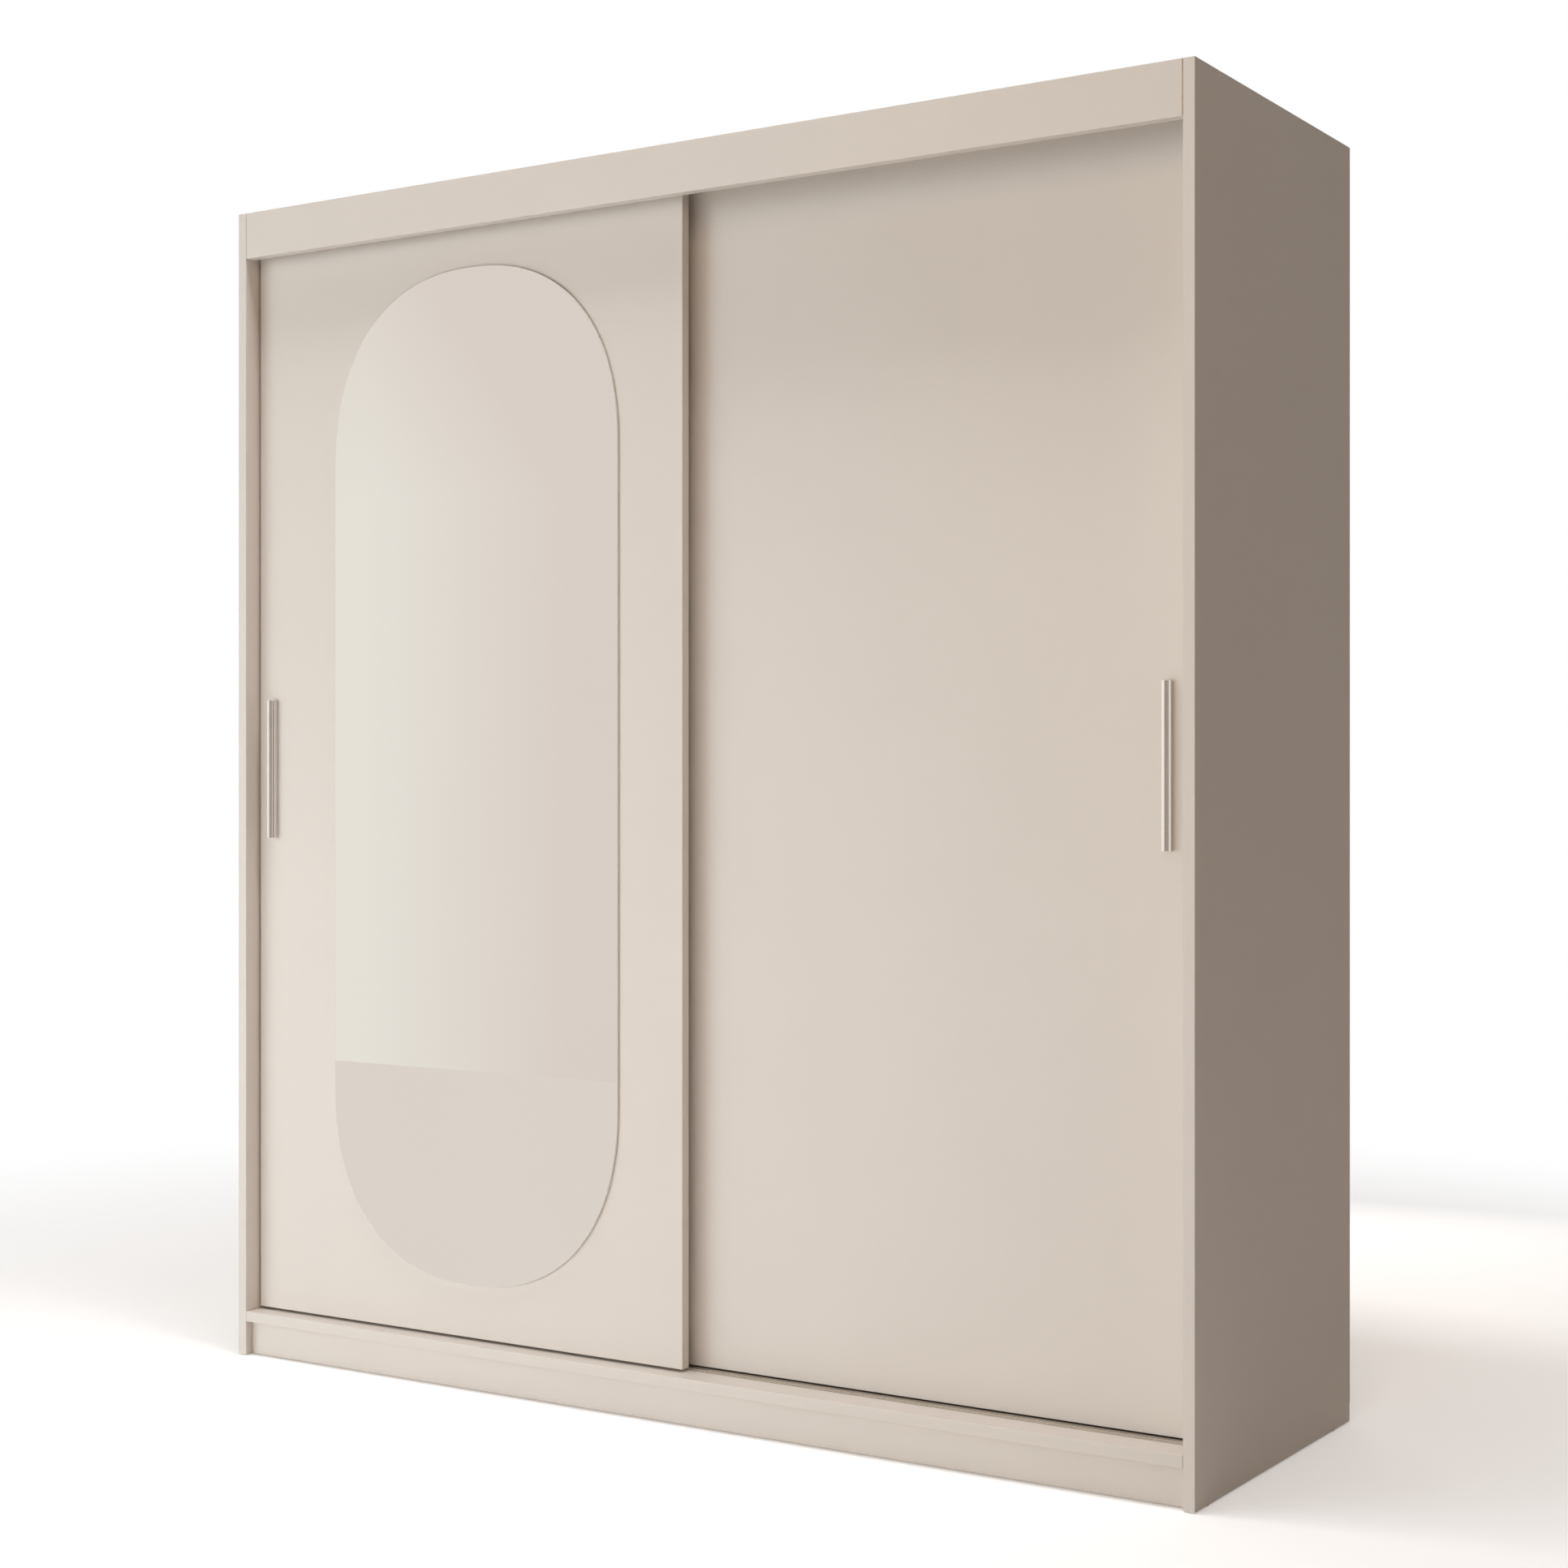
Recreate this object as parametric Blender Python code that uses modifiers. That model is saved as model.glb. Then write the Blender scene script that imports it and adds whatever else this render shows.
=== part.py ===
"""Sliding door wardrobe: a board carcass with two sliding doors on a double top track.

Metres, +Z up. The origin is the centre of the footprint on the floor, X runs along the
front, and the doors face -Y. The left door carries a mirror and runs in front of the right.
"""

import math

import bmesh
import bpy
from mathutils import Euler, Vector

# Overall size
WIDTH = 1.800
DEPTH = 0.610
HEIGHT = 2.000
BOARD = 0.018
GAP = 0.0003          # assembly gap between pieces that touch
BOARD_EDGE = 0.0008   # radius of the edge banding
GLIDE = 0.002         # the boards stand this far off the floor

# Carcass, with depths counted back from the front edges of the sides
BACK_SHEET = 0.003
JOINER_CAP = 0.0008
FASCIA_HEIGHT = 0.080
PLINTH_HEIGHT = 0.060
PLINTH_SETBACK = 0.015
PLINTH_BACK_DEPTH = 0.560
PARTITION_FRONT = 0.112
SHELF_FRONT = 0.118
SHELF_BACK = 0.600
HAT_SPACE = 0.300
LEFT_SHELVES = 5
RAIL_DROP = 0.050
RAIL_HIGH = 0.030
RAIL_WIDE = 0.015
RAIL_WALL = 0.0012

# Doors: front faces, edges and the line of the wheels behind each door
DOOR_WIDTH = 0.902
DOOR_BOTTOM = 0.0825
DOOR_TOP = 1.936
DOOR_SIDE_GAP = 0.004
FRONT_DOOR_DEPTH = 0.032
REAR_DOOR_DEPTH = 0.069
WHEEL_BEHIND_DOOR = 0.011
WHEEL_INSET = 0.090
GUIDE_INSET = 0.045

# Wheels and tracks
ROLLING_RADIUS = 0.012
RIM_RADIUS = 0.0142
WHEEL_THICK = 0.007
BORE_RADIUS = 0.0028
TRACK_WEB = 0.002
TRACK_HEIGHT = 0.0377
BEAD_HEIGHT = 0.003
BEAD_HALF = 0.0015
LIP_HEIGHT = 0.003
GROOVE = 0.007
LIP = 0.003

# Mirror and handles, from the left outer side
MIRROR_CENTRE = 0.501
MIRROR_MID_HEIGHT = 1.014
MIRROR_WIDTH = 0.601
MIRROR_HEIGHT = 1.688
MIRROR_END = 0.320    # height of the curved stretch at each end
MIRROR_POWER = 2.3    # squareness of the curve, where 2 is an ellipse
MIRROR_THICK = 0.004
HANDLE_LENGTH = 0.240
HANDLE_MID_HEIGHT = 1.027
HANDLE_WIDTH = 0.0105
HANDLE_PROJECTION = 0.0165
HANDLE_FIN = 0.0045
HANDLE_STEP = 0.0085
LEFT_HANDLE_X = 0.0585
RIGHT_HANDLE_X = 1.7325

# Worked out from the above
INNER = WIDTH / 2 - BOARD
CARCASS_DEPTH = DEPTH - JOINER_CAP - BACK_SHEET - 2 * GAP
FLOOR_TOP = PLINTH_HEIGHT + BOARD
CEILING = HEIGHT - BOARD
HAT_SHELF_TOP = CEILING - HAT_SPACE
TRACK_TOP = CEILING - GAP
FLANGE_TOP = TRACK_TOP - TRACK_HEIGHT + TRACK_WEB
WHEEL_Z = FLANGE_TOP + BEAD_HEIGHT + ROLLING_RADIUS + GAP
TRAVEL = 2 * INNER - 2 * DOOR_SIDE_GAP - DOOR_WIDTH
LEFT_DOOR_X = -INNER + DOOR_SIDE_GAP + DOOR_WIDTH / 2
RIGHT_DOOR_X = -LEFT_DOOR_X
FRONT_LINE = FRONT_DOOR_DEPTH + BOARD + WHEEL_BEHIND_DOOR
REAR_LINE = REAR_DOOR_DEPTH + BOARD + WHEEL_BEHIND_DOOR
HANGER_THICK = 0.002

# Turns that lay a flat outline's own axes along the wardrobe's
ALONG_X = Euler((math.pi / 2, 0, math.pi / 2))
FACING_FRONT = Euler((math.pi / 2, 0, 0))
AXLE_TURN = Euler((-math.pi / 2, 0, 0))


def y_at(depth):
    """World y of a depth counted back from the front edges of the sides."""
    return depth - DEPTH / 2


def x_at(from_left):
    """World x of a distance counted from the left outer side."""
    return from_left - WIDTH / 2


# Scene, collections, empties and materials


def clear_scene():
    for obj in list(bpy.data.objects):
        bpy.data.objects.remove(obj, do_unlink=True)


def collection(name):
    made = bpy.data.collections.new(name)
    bpy.context.scene.collection.children.link(made)
    return made


def linear(value):
    return value / 12.92 if value <= 0.04045 else ((value + 0.055) / 1.055) ** 2.4


def material(name, colour, roughness, metallic=0.0):
    made = bpy.data.materials.new(name)
    made.use_nodes = True
    shader = made.node_tree.nodes["Principled BSDF"]
    channels = [int(colour[i : i + 2], 16) / 255 for i in (0, 2, 4)]
    shader.inputs["Base Color"].default_value = [*map(linear, channels), 1]
    shader.inputs["Roughness"].default_value = roughness
    shader.inputs["Metallic"].default_value = metallic
    return made


clear_scene()
WARDROBE = collection("sliding_door_wardrobe")
CUTTERS = collection("cutters")
CUTTERS.hide_render = True

LAMINATE = material("cashmere_laminate", "d8cdc3", 0.45)
DOOR_LAMINATE = material("door_laminate", "d9cfc6", 0.42)
HARDBOARD = material("hardboard", "ded6cc", 0.6)
ALUMINIUM = material("anodised_aluminium", "c9c8c5", 0.35, 1.0)
HANDLE_METAL = material("handle_aluminium", "ded9d2", 0.3, 1.0)
STEEL = material("zinc_plated_steel", "b9bcc0", 0.35, 1.0)
CHROME = material("chromed_steel", "d8dadd", 0.12, 1.0)
NYLON = material("nylon", "e6e4de", 0.45)
GREY_PLASTIC = material("grey_plastic", "8d8c8a", 0.5)
RUBBER = material("rubber", "3a3938", 0.8)
GLASS_MIRROR = material("silvered_mirror", "eceae6", 0.02, 1.0)


# Ways of making a piece


def finish(obj, surface, parent=None, into=None):
    """Puts the piece in its collection, gives it its material and hangs it on its parent."""
    (into or WARDROBE).objects.link(obj)
    obj.data.materials.clear()
    obj.data.materials.append(surface)
    if parent:
        obj.location -= parent.location
        obj.parent = parent
    return obj


def round_edges(obj, width, segments=2):
    bevel = obj.modifiers.new("round_edges", "BEVEL")
    bevel.width = width
    bevel.segments = segments
    bevel.limit_method = "ANGLE"
    bevel.harden_normals = False


def block(name, low, high, surface, parent=None, edge=0.0, into=None):
    """A box between two corners, its origin at its centre."""
    low, high = Vector(low), Vector(high)
    shape = bmesh.new()
    bmesh.ops.create_cube(shape, size=1)
    bmesh.ops.scale(shape, vec=high - low, verts=shape.verts)
    mesh = bpy.data.meshes.new(name)
    shape.to_mesh(mesh)
    shape.free()
    obj = bpy.data.objects.new(name, mesh)
    obj.location = (low + high) / 2
    if edge:
        round_edges(obj, edge)
    return finish(obj, surface, parent, into)


def board(name, x, depth, z, surface=LAMINATE, parent=None):
    """A laminated board given by its (low, high) in x, in depth and in z."""
    low = (x[0], y_at(depth[0]), z[0])
    high = (x[1], y_at(depth[1]), z[1])
    return block(name, low, high, surface, parent, BOARD_EDGE)


def extrusion(name, outlines, thickness, turn, location, surface, parent=None, into=None):
    """A flat outline, with any further outlines as holes, made a solid of this thickness."""
    curve = bpy.data.curves.new(name + "_outline", "CURVE")
    curve.dimensions = "2D"
    curve.fill_mode = "BOTH"
    curve.extrude = thickness / 2
    for outline in outlines:
        spline = curve.splines.new("POLY")
        spline.points.add(len(outline) - 1)
        for point, (a, b) in zip(spline.points, outline):
            point.co = (a, b, 0, 1)
        spline.use_cyclic_u = True
    flat = bpy.data.objects.new(name + "_flat", curve)
    bpy.context.scene.collection.objects.link(flat)
    flat.rotation_euler = turn
    flat.location = location
    bpy.context.view_layer.update()
    seen = flat.evaluated_get(bpy.context.evaluated_depsgraph_get())
    mesh = bpy.data.meshes.new_from_object(seen)
    mesh.name = name
    shape = bmesh.new()
    shape.from_mesh(mesh)
    bmesh.ops.remove_doubles(shape, verts=shape.verts, dist=1e-6)
    bmesh.ops.recalc_face_normals(shape, faces=shape.faces)
    shape.to_mesh(mesh)
    shape.free()
    obj = bpy.data.objects.new(name, mesh)
    obj.matrix_world = flat.matrix_world.copy()
    bpy.data.objects.remove(flat)
    return finish(obj, surface, parent, into)


def turned(name, profile, steps, location, surface, parent=None):
    """A shape turned about an axis that runs along Y; profile points are (radius, along)."""
    mesh = bpy.data.meshes.new(name)
    count = len(profile)
    edges = [(i, (i + 1) % count) for i in range(count)]
    mesh.from_pydata([(radius, 0, along) for radius, along in profile], edges, [])
    obj = bpy.data.objects.new(name, mesh)
    screw = obj.modifiers.new("turn", "SCREW")
    screw.steps = steps
    screw.render_steps = steps
    screw.use_merge_vertices = True
    screw.merge_threshold = 0.00005
    screw.use_smooth_shade = True
    obj.rotation_euler = AXLE_TURN
    obj.location = location
    return finish(obj, surface, parent)


def combine(obj, other, operation):
    modifier = obj.modifiers.new(operation.lower(), "BOOLEAN")
    modifier.operation = operation
    modifier.object = other
    modifier.solver = "EXACT"
    other.hide_render = True
    other.display_type = "WIRE"


def rounded(points, radius, steps=4):
    """A closed outline of straight lines with each corner replaced by an arc."""
    outline = []
    for i, corner in enumerate(points):
        corner = Vector(corner)
        before = (Vector(points[i - 1]) - corner).normalized()
        after = (Vector(points[(i + 1) % len(points)]) - corner).normalized()
        half = before.angle(after) / 2
        centre = corner + (before + after).normalized() * radius / math.sin(half)
        start = corner + before * radius / math.tan(half) - centre
        sweep = start.angle_signed(corner + after * radius / math.tan(half) - centre)
        for step in range(steps + 1):
            turn = -sweep * step / steps
            spoke = Vector(
                (
                    start.x * math.cos(turn) - start.y * math.sin(turn),
                    start.x * math.sin(turn) + start.y * math.cos(turn),
                )
            )
            outline.append(tuple(centre + spoke))
    return outline


def oval(wide, high, steps=10):
    """A flat-sided oval, its straight sides upright."""
    radius = wide / 2
    points = []
    for side in (1, -1):
        for step in range(steps + 1):
            angle = math.pi * step / steps + (0 if side > 0 else math.pi)
            lift = side * (high / 2 - radius)
            points.append((radius * math.cos(angle), radius * math.sin(angle) + lift))
    return points


# Carcass: boards


def carcass():
    sides_z = (GLIDE, HEIGHT)
    full_depth = (0, CARCASS_DEPTH)
    board("side_left", (-WIDTH / 2, -INNER), full_depth, sides_z)
    board("side_right", (INNER, WIDTH / 2), full_depth, sides_z)
    between = (-INNER + GAP, INNER - GAP)
    behind_fascia = (BOARD + GAP, CARCASS_DEPTH)
    board("top_panel", between, behind_fascia, (CEILING, HEIGHT))
    board("fascia", between, (0, BOARD), (HEIGHT - FASCIA_HEIGHT, HEIGHT))
    board("bottom_panel", between, full_depth, (PLINTH_HEIGHT, FLOOR_TOP))
    plinth_z = (GLIDE, PLINTH_HEIGHT - GAP)
    plinth_front = (PLINTH_SETBACK, PLINTH_SETBACK + BOARD)
    plinth_back = (PLINTH_BACK_DEPTH, PLINTH_BACK_DEPTH + BOARD)
    board("plinth_front", between, plinth_front, plinth_z)
    board("plinth_back", between, plinth_back, plinth_z)
    support_depth = (plinth_front[1] + GAP, plinth_back[0] - GAP)
    centre = (-BOARD / 2, BOARD / 2)
    board("plinth_support", centre, support_depth, plinth_z)
    upright_z = (FLOOR_TOP + GAP, CEILING - GAP)
    board("partition", centre, (PARTITION_FRONT, CARCASS_DEPTH), upright_z)


def shelves():
    """Evenly spaced shelves on the left, the top one level with the hat shelf on the right."""
    depth = (SHELF_FRONT, SHELF_BACK)
    left = (-INNER + GAP, -BOARD / 2 - GAP)
    right = (BOARD / 2 + GAP, INNER - GAP)
    rise = (HAT_SHELF_TOP - FLOOR_TOP) / LEFT_SHELVES
    for level in range(1, LEFT_SHELVES + 1):
        top = FLOOR_TOP + rise * level
        board(f"shelf_{level}", left, depth, (top - BOARD, top))
    board("hat_shelf", right, depth, (HAT_SHELF_TOP - BOARD, HAT_SHELF_TOP))


def back():
    """Two hardboard sheets on the boards' back edges, with a T-shaped strip over their joint."""
    front = y_at(CARCASS_DEPTH + GAP)
    rear = front + BACK_SHEET
    half_stem = 0.0007
    edge = half_stem + GAP
    z = (PLINTH_HEIGHT / 2, HEIGHT - GAP)
    outer = WIDTH / 2 - 0.001
    block("back_sheet_left", (-outer, front, z[0]), (-edge, rear, z[1]), HARDBOARD)
    block("back_sheet_right", (edge, front, z[0]), (outer, rear, z[1]), HARDBOARD)
    half_cap = 0.012
    cap_front = rear + GAP - y_at(0)
    stem = [(half_stem, 0), (half_stem, BACK_SHEET), (half_cap, BACK_SHEET)]
    stem.append((half_cap, BACK_SHEET + JOINER_CAP))
    outline = stem + [(-a, b) for a, b in reversed(stem)]
    location = (0, y_at(cap_front - BACK_SHEET), (z[0] + z[1]) / 2)
    extrusion("back_joiner", [outline], z[1] - z[0], Euler(), location, GREY_PLASTIC)


def glides():
    """Nail-on glides that carry the sides and the plinth support."""
    radius = 0.008
    side_x = WIDTH / 2 - BOARD / 2
    for row, depth in (("front", 0.050), ("back", 0.540)):
        for side, x in (("left", -side_x), ("centre", 0), ("right", side_x)):
            shape = bmesh.new()
            bmesh.ops.create_cone(
                shape,
                cap_ends=True,
                segments=24,
                radius1=radius - 0.0006,
                radius2=radius,
                depth=GLIDE - GAP,
            )
            mesh = bpy.data.meshes.new(f"glide_{row}_{side}")
            shape.to_mesh(mesh)
            shape.free()
            obj = bpy.data.objects.new(mesh.name, mesh)
            obj.location = (x, y_at(depth), (GLIDE - GAP) / 2)
            finish(obj, NYLON)


def wall_brackets():
    """Steel angles under the top panel that hold the wardrobe to the wall."""
    leg = 0.030
    thick = 0.002
    outline = [(0, 0), (leg, 0), (leg, -leg), (leg - thick, -leg)]
    outline += [(leg - thick, -thick), (0, -thick)]
    for side, x in (("left", -0.60), ("right", 0.60)):
        location = (x, y_at(CARCASS_DEPTH) - leg, CEILING - GAP)
        extrusion(f"wall_bracket_{side}", [outline], 0.040, ALONG_X, location, STEEL)


def hanging_rail():
    """An oval steel tube under the hat shelf, held in a cup at each end."""
    depth = (SHELF_FRONT + SHELF_BACK) / 2
    z = HAT_SHELF_TOP - BOARD - RAIL_DROP
    left = BOARD / 2 + GAP
    right = INNER - GAP
    plate = 0.003
    cup = 0.012
    wall = 0.0025
    clearance = 0.0003
    start = left + plate + GAP
    end = right - plate - GAP
    inside = oval(RAIL_WIDE - 2 * RAIL_WALL, RAIL_HIGH - 2 * RAIL_WALL)
    loops = [oval(RAIL_WIDE, RAIL_HIGH), inside]
    middle = ((start + end) / 2, y_at(depth), z)
    extrusion("hanging_rail", loops, end - start, ALONG_X, middle, CHROME)
    outer = oval(RAIL_WIDE + 2 * wall, RAIL_HIGH + 2 * wall)
    pocket = oval(RAIL_WIDE + 2 * clearance, RAIL_HIGH + 2 * clearance)
    for side, wall_x, inward in (("left", left, 1), ("right", right, -1)):
        centre = (wall_x + inward * cup / 2, y_at(depth), z)
        name = f"rail_socket_{side}"
        socket = extrusion(name, [outer], cup, ALONG_X, centre, CHROME)
        centre = (wall_x + inward * (plate + cup / 2), y_at(depth), z)
        hole = extrusion(name + "_hole", [pocket], cup, ALONG_X, centre, CHROME, into=CUTTERS)
        combine(socket, hole, "DIFFERENCE")


# Tracks


def bead(line):
    """The rounded rib that a wheel's groove runs on, from rear to front, as (depth, z)."""
    top = FLANGE_TOP + BEAD_HEIGHT
    shoulder = top - BEAD_HEIGHT / 5
    return [
        (line + BEAD_HALF, FLANGE_TOP),
        (line + BEAD_HALF * 0.7, shoulder),
        (line + BEAD_HALF * 0.4, top),
        (line - BEAD_HALF * 0.4, top),
        (line - BEAD_HALF * 0.7, shoulder),
        (line - BEAD_HALF, FLANGE_TOP),
    ]


def top_track():
    """One aluminium profile: a web under the top panel with a J-shaped channel for each door."""
    under_web = TRACK_TOP - TRACK_WEB
    bottom = TRACK_TOP - TRACK_HEIGHT
    reach = 0.005
    wall = 0.0015
    outline = [(FRONT_LINE - reach - 0.001, TRACK_TOP)]
    outline.append((REAR_LINE + reach + wall, TRACK_TOP))
    for line in (REAR_LINE, FRONT_LINE):
        if line == FRONT_LINE:
            outline.append((line + reach + wall, under_web))
        outline.append((line + reach + wall, bottom))
        outline.append((line - reach, bottom))
        outline.append((line - reach, FLANGE_TOP))
        outline += reversed(bead(line))
        outline.append((line + reach, FLANGE_TOP))
        outline.append((line + reach, under_web))
    outline.append((FRONT_LINE - reach - 0.001, under_web))
    length = 2 * (INNER - 0.001)
    location = (0, y_at(0), 0)
    extrusion("top_track", [outline], length, ALONG_X, location, ALUMINIUM)


def bottom_track():
    """A low aluminium strip with two lipped grooves that the door guides' pins run in."""
    base = FLOOR_TOP + GAP
    web = base + 0.001
    top = base + LIP_HEIGHT - GAP
    outline = [(FRONT_LINE - 0.010, base), (REAR_LINE + 0.010, base)]
    outline.append((REAR_LINE + 0.010, web))
    for line in (REAR_LINE, FRONT_LINE):
        for side in (1, -1):
            near, far = line + side * GROOVE / 2, line + side * (GROOVE / 2 + LIP)
            lip = [(far, web), (far, top), (near, top), (near, web)]
            outline += lip if side > 0 else reversed(lip)
    outline.append((FRONT_LINE - 0.010, web))
    length = 2 * (INNER - 0.001)
    extrusion("bottom_track", [outline], length, ALONG_X, (0, y_at(0), 0), ALUMINIUM)


def track_stops():
    """Rubber buffers in the top track, one at each end of each door's run."""
    long = 0.026
    half = 0.0042
    wheel_reach = INNER - DOOR_SIDE_GAP - WHEEL_INSET + RIM_RADIUS + GAP
    for door, line in (("front", FRONT_LINE), ("rear", REAR_LINE)):
        for side, sign in (("left", -1), ("right", 1)):
            ends = sorted((sign * wheel_reach, sign * (wheel_reach + long)))
            low = (ends[0], y_at(line - half), FLANGE_TOP + BEAD_HEIGHT + GAP)
            high = (ends[1], y_at(line + half), WHEEL_Z + 0.010)
            block(f"track_stop_{door}_{side}", low, high, RUBBER, edge=0.0015)


# Doors


def slide_axis(name, x, line):
    """The empty that a door hangs on, at the middle of its line of wheels."""
    empty = bpy.data.objects.new(name, None)
    WARDROBE.objects.link(empty)
    empty.location = (x, y_at(line), WHEEL_Z)
    return empty


def mirror_outline():
    """Straight upright sides closed at both ends by a squarish half oval."""
    half = MIRROR_WIDTH / 2
    straight = MIRROR_HEIGHT / 2 - MIRROR_END
    steps = 28
    points = []
    for end in (1, -1):
        for step in range(steps + 1):
            angle = math.pi * step / steps
            across = abs(math.cos(angle)) ** (2 / MIRROR_POWER)
            along = math.sin(angle) ** (2 / MIRROR_POWER)
            across = math.copysign(across, math.cos(angle)) * end
            points.append((half * across, end * (straight + MIRROR_END * along)))
    return points


def mirror(parent):
    """Silvered glass glued on the door's face, its edge ground to a fine chamfer."""
    depth = FRONT_DOOR_DEPTH - GAP - MIRROR_THICK / 2
    location = (x_at(MIRROR_CENTRE), y_at(depth), MIRROR_MID_HEIGHT)
    outline = mirror_outline()
    glass = extrusion("mirror", [outline], MIRROR_THICK, FACING_FRONT, location, GLASS_MIRROR, parent)
    round_edges(glass, 0.0007, 1)
    glass.modifiers["round_edges"].angle_limit = math.radians(60)


def handle(name, from_left, door_depth, parent):
    """A stepped aluminium bar: a broad base with a narrower fin standing along its left side."""
    base, fin = HANDLE_WIDTH, HANDLE_FIN
    step, tip = -HANDLE_STEP, -HANDLE_PROJECTION
    outline = [(0, 0), (0, tip), (fin, tip), (fin, step), (base, step), (base, 0)]
    outline = rounded(outline, 0.0006, 2)
    location = (
        x_at(from_left) - base / 2,
        y_at(door_depth - GAP),
        HANDLE_MID_HEIGHT,
    )
    extrusion(name, [outline], HANDLE_LENGTH, Euler(), location, HANDLE_METAL, parent)


def hanger(name, x, door_depth, parent):
    """A pressed steel plate screwed to the door's back, its narrow top carrying the axle."""
    foot, neck = 0.032, 0.017
    low, shoulder, high = 1.872, 1.926, WHEEL_Z + 0.014
    corners = [(-foot, low), (foot, low), (foot, shoulder), (neck, shoulder + 0.012)]
    corners += [(neck, high), (-neck, high), (-neck, shoulder + 0.012), (-foot, shoulder)]
    outline = rounded([(a, b - WHEEL_Z) for a, b in corners], 0.005)
    depth = door_depth + BOARD + GAP + HANGER_THICK / 2
    location = (x, y_at(depth), WHEEL_Z)
    extrusion(name, [outline], HANGER_THICK, FACING_FRONT, location, STEEL, parent)


def axle(name, x, line, parent):
    """A shouldered steel pin from the hanger plate, with a head that keeps the wheel on."""
    half = WHEEL_THICK / 2
    pin, shoulder, head = BORE_RADIUS - 0.0003, 0.0045, 0.0040
    start = -(WHEEL_BEHIND_DOOR - HANGER_THICK - 2 * GAP)
    tip = half + GAP + 0.0008
    profile = [
        (0, tip),
        (head, tip),
        (head, half + GAP),
        (pin, half + GAP),
        (pin, -half - GAP),
        (shoulder, -half - GAP),
        (shoulder, start),
        (0, start),
    ]
    turned(name, profile, 32, (x, y_at(line), WHEEL_Z), STEEL, parent)


def wheel(name, x, line, parent):
    """A nylon wheel with a groove for the track's bead and a bore for the axle."""
    half = WHEEL_THICK / 2
    mouth = half - 0.0003
    profile = [
        (RIM_RADIUS - 0.0004, half),
        (RIM_RADIUS, mouth),
        (ROLLING_RADIUS, 0.0008),
        (ROLLING_RADIUS, -0.0008),
        (RIM_RADIUS, -mouth),
        (RIM_RADIUS - 0.0004, -half),
        (BORE_RADIUS, -half),
        (BORE_RADIUS, half),
    ]
    turned(name, profile, 40, (x, y_at(line), WHEEL_Z), NYLON, parent)


def guide(name, x, door_depth, line, parent):
    """A moulded foot on the door's back whose pin runs in the bottom track's groove."""
    face = door_depth + BOARD + GAP
    half = 0.020
    bottom = DOOR_BOTTOM + 0.0015
    low = (x - half, y_at(face), bottom)
    high = (x + half, y_at(face + 0.003), bottom + 0.034)
    plate = block(name, low, high, GREY_PLASTIC, parent)
    low = (x - half * 0.7, y_at(face + 0.001), bottom)
    high = (x + half * 0.7, y_at(line + 0.005), bottom + 0.008)
    foot = block(name + "_foot", low, high, GREY_PLASTIC, into=CUTTERS)
    pin_bottom = FLOOR_TOP + 0.0018
    pin_top = bottom + 0.004
    shape = bmesh.new()
    bmesh.ops.create_cone(
        shape,
        cap_ends=True,
        segments=20,
        radius1=0.0025,
        radius2=0.0025,
        depth=pin_top - pin_bottom,
    )
    mesh = bpy.data.meshes.new(name + "_pin")
    shape.to_mesh(mesh)
    shape.free()
    pin = bpy.data.objects.new(mesh.name, mesh)
    pin.location = (x, y_at(line), (pin_top + pin_bottom) / 2)
    finish(pin, GREY_PLASTIC, into=CUTTERS)
    combine(plate, foot, "UNION")
    combine(plate, pin, "UNION")


def door(row, panel, x, door_depth, line):
    """A door panel with its two hangers, axles, wheels and bottom guides; returns its empty."""
    axis = slide_axis(f"{row}_door_axis", x, line)
    half = DOOR_WIDTH / 2
    depth = (door_depth, door_depth + BOARD)
    z = (DOOR_BOTTOM, DOOR_TOP)
    board(panel, (x - half, x + half), depth, z, DOOR_LAMINATE, axis)
    for side, sign in (("left", -1), ("right", 1)):
        wheel_x = x + sign * (half - WHEEL_INSET)
        hanger(f"hanger_{row}_{side}", wheel_x, door_depth, axis)
        axle(f"axle_{row}_{side}", wheel_x, line, axis)
        wheel(f"wheel_{row}_{side}", wheel_x, line, axis)
        guide_x = x + sign * (half - GUIDE_INSET)
        guide(f"guide_{row}_{side}", guide_x, door_depth, line, axis)
    return axis


carcass()
shelves()
back()
glides()
wall_brackets()
hanging_rail()
top_track()
bottom_track()
track_stops()
front_axis = door("front", "door_left", LEFT_DOOR_X, FRONT_DOOR_DEPTH, FRONT_LINE)
mirror(front_axis)
handle("handle_left", LEFT_HANDLE_X, FRONT_DOOR_DEPTH, front_axis)
rear_axis = door("rear", "door_right", RIGHT_DOOR_X, REAR_DOOR_DEPTH, REAR_LINE)
handle("handle_right", RIGHT_HANDLE_X, REAR_DOOR_DEPTH, rear_axis)
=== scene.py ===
"""Sliding door wardrobe in cashmere melamine, with an oval mirror on the left door.

The pieces follow one another as the wardrobe is put together, from the boards to the doors.
The last sections are the floor, the light and the camera.
"""

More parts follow.
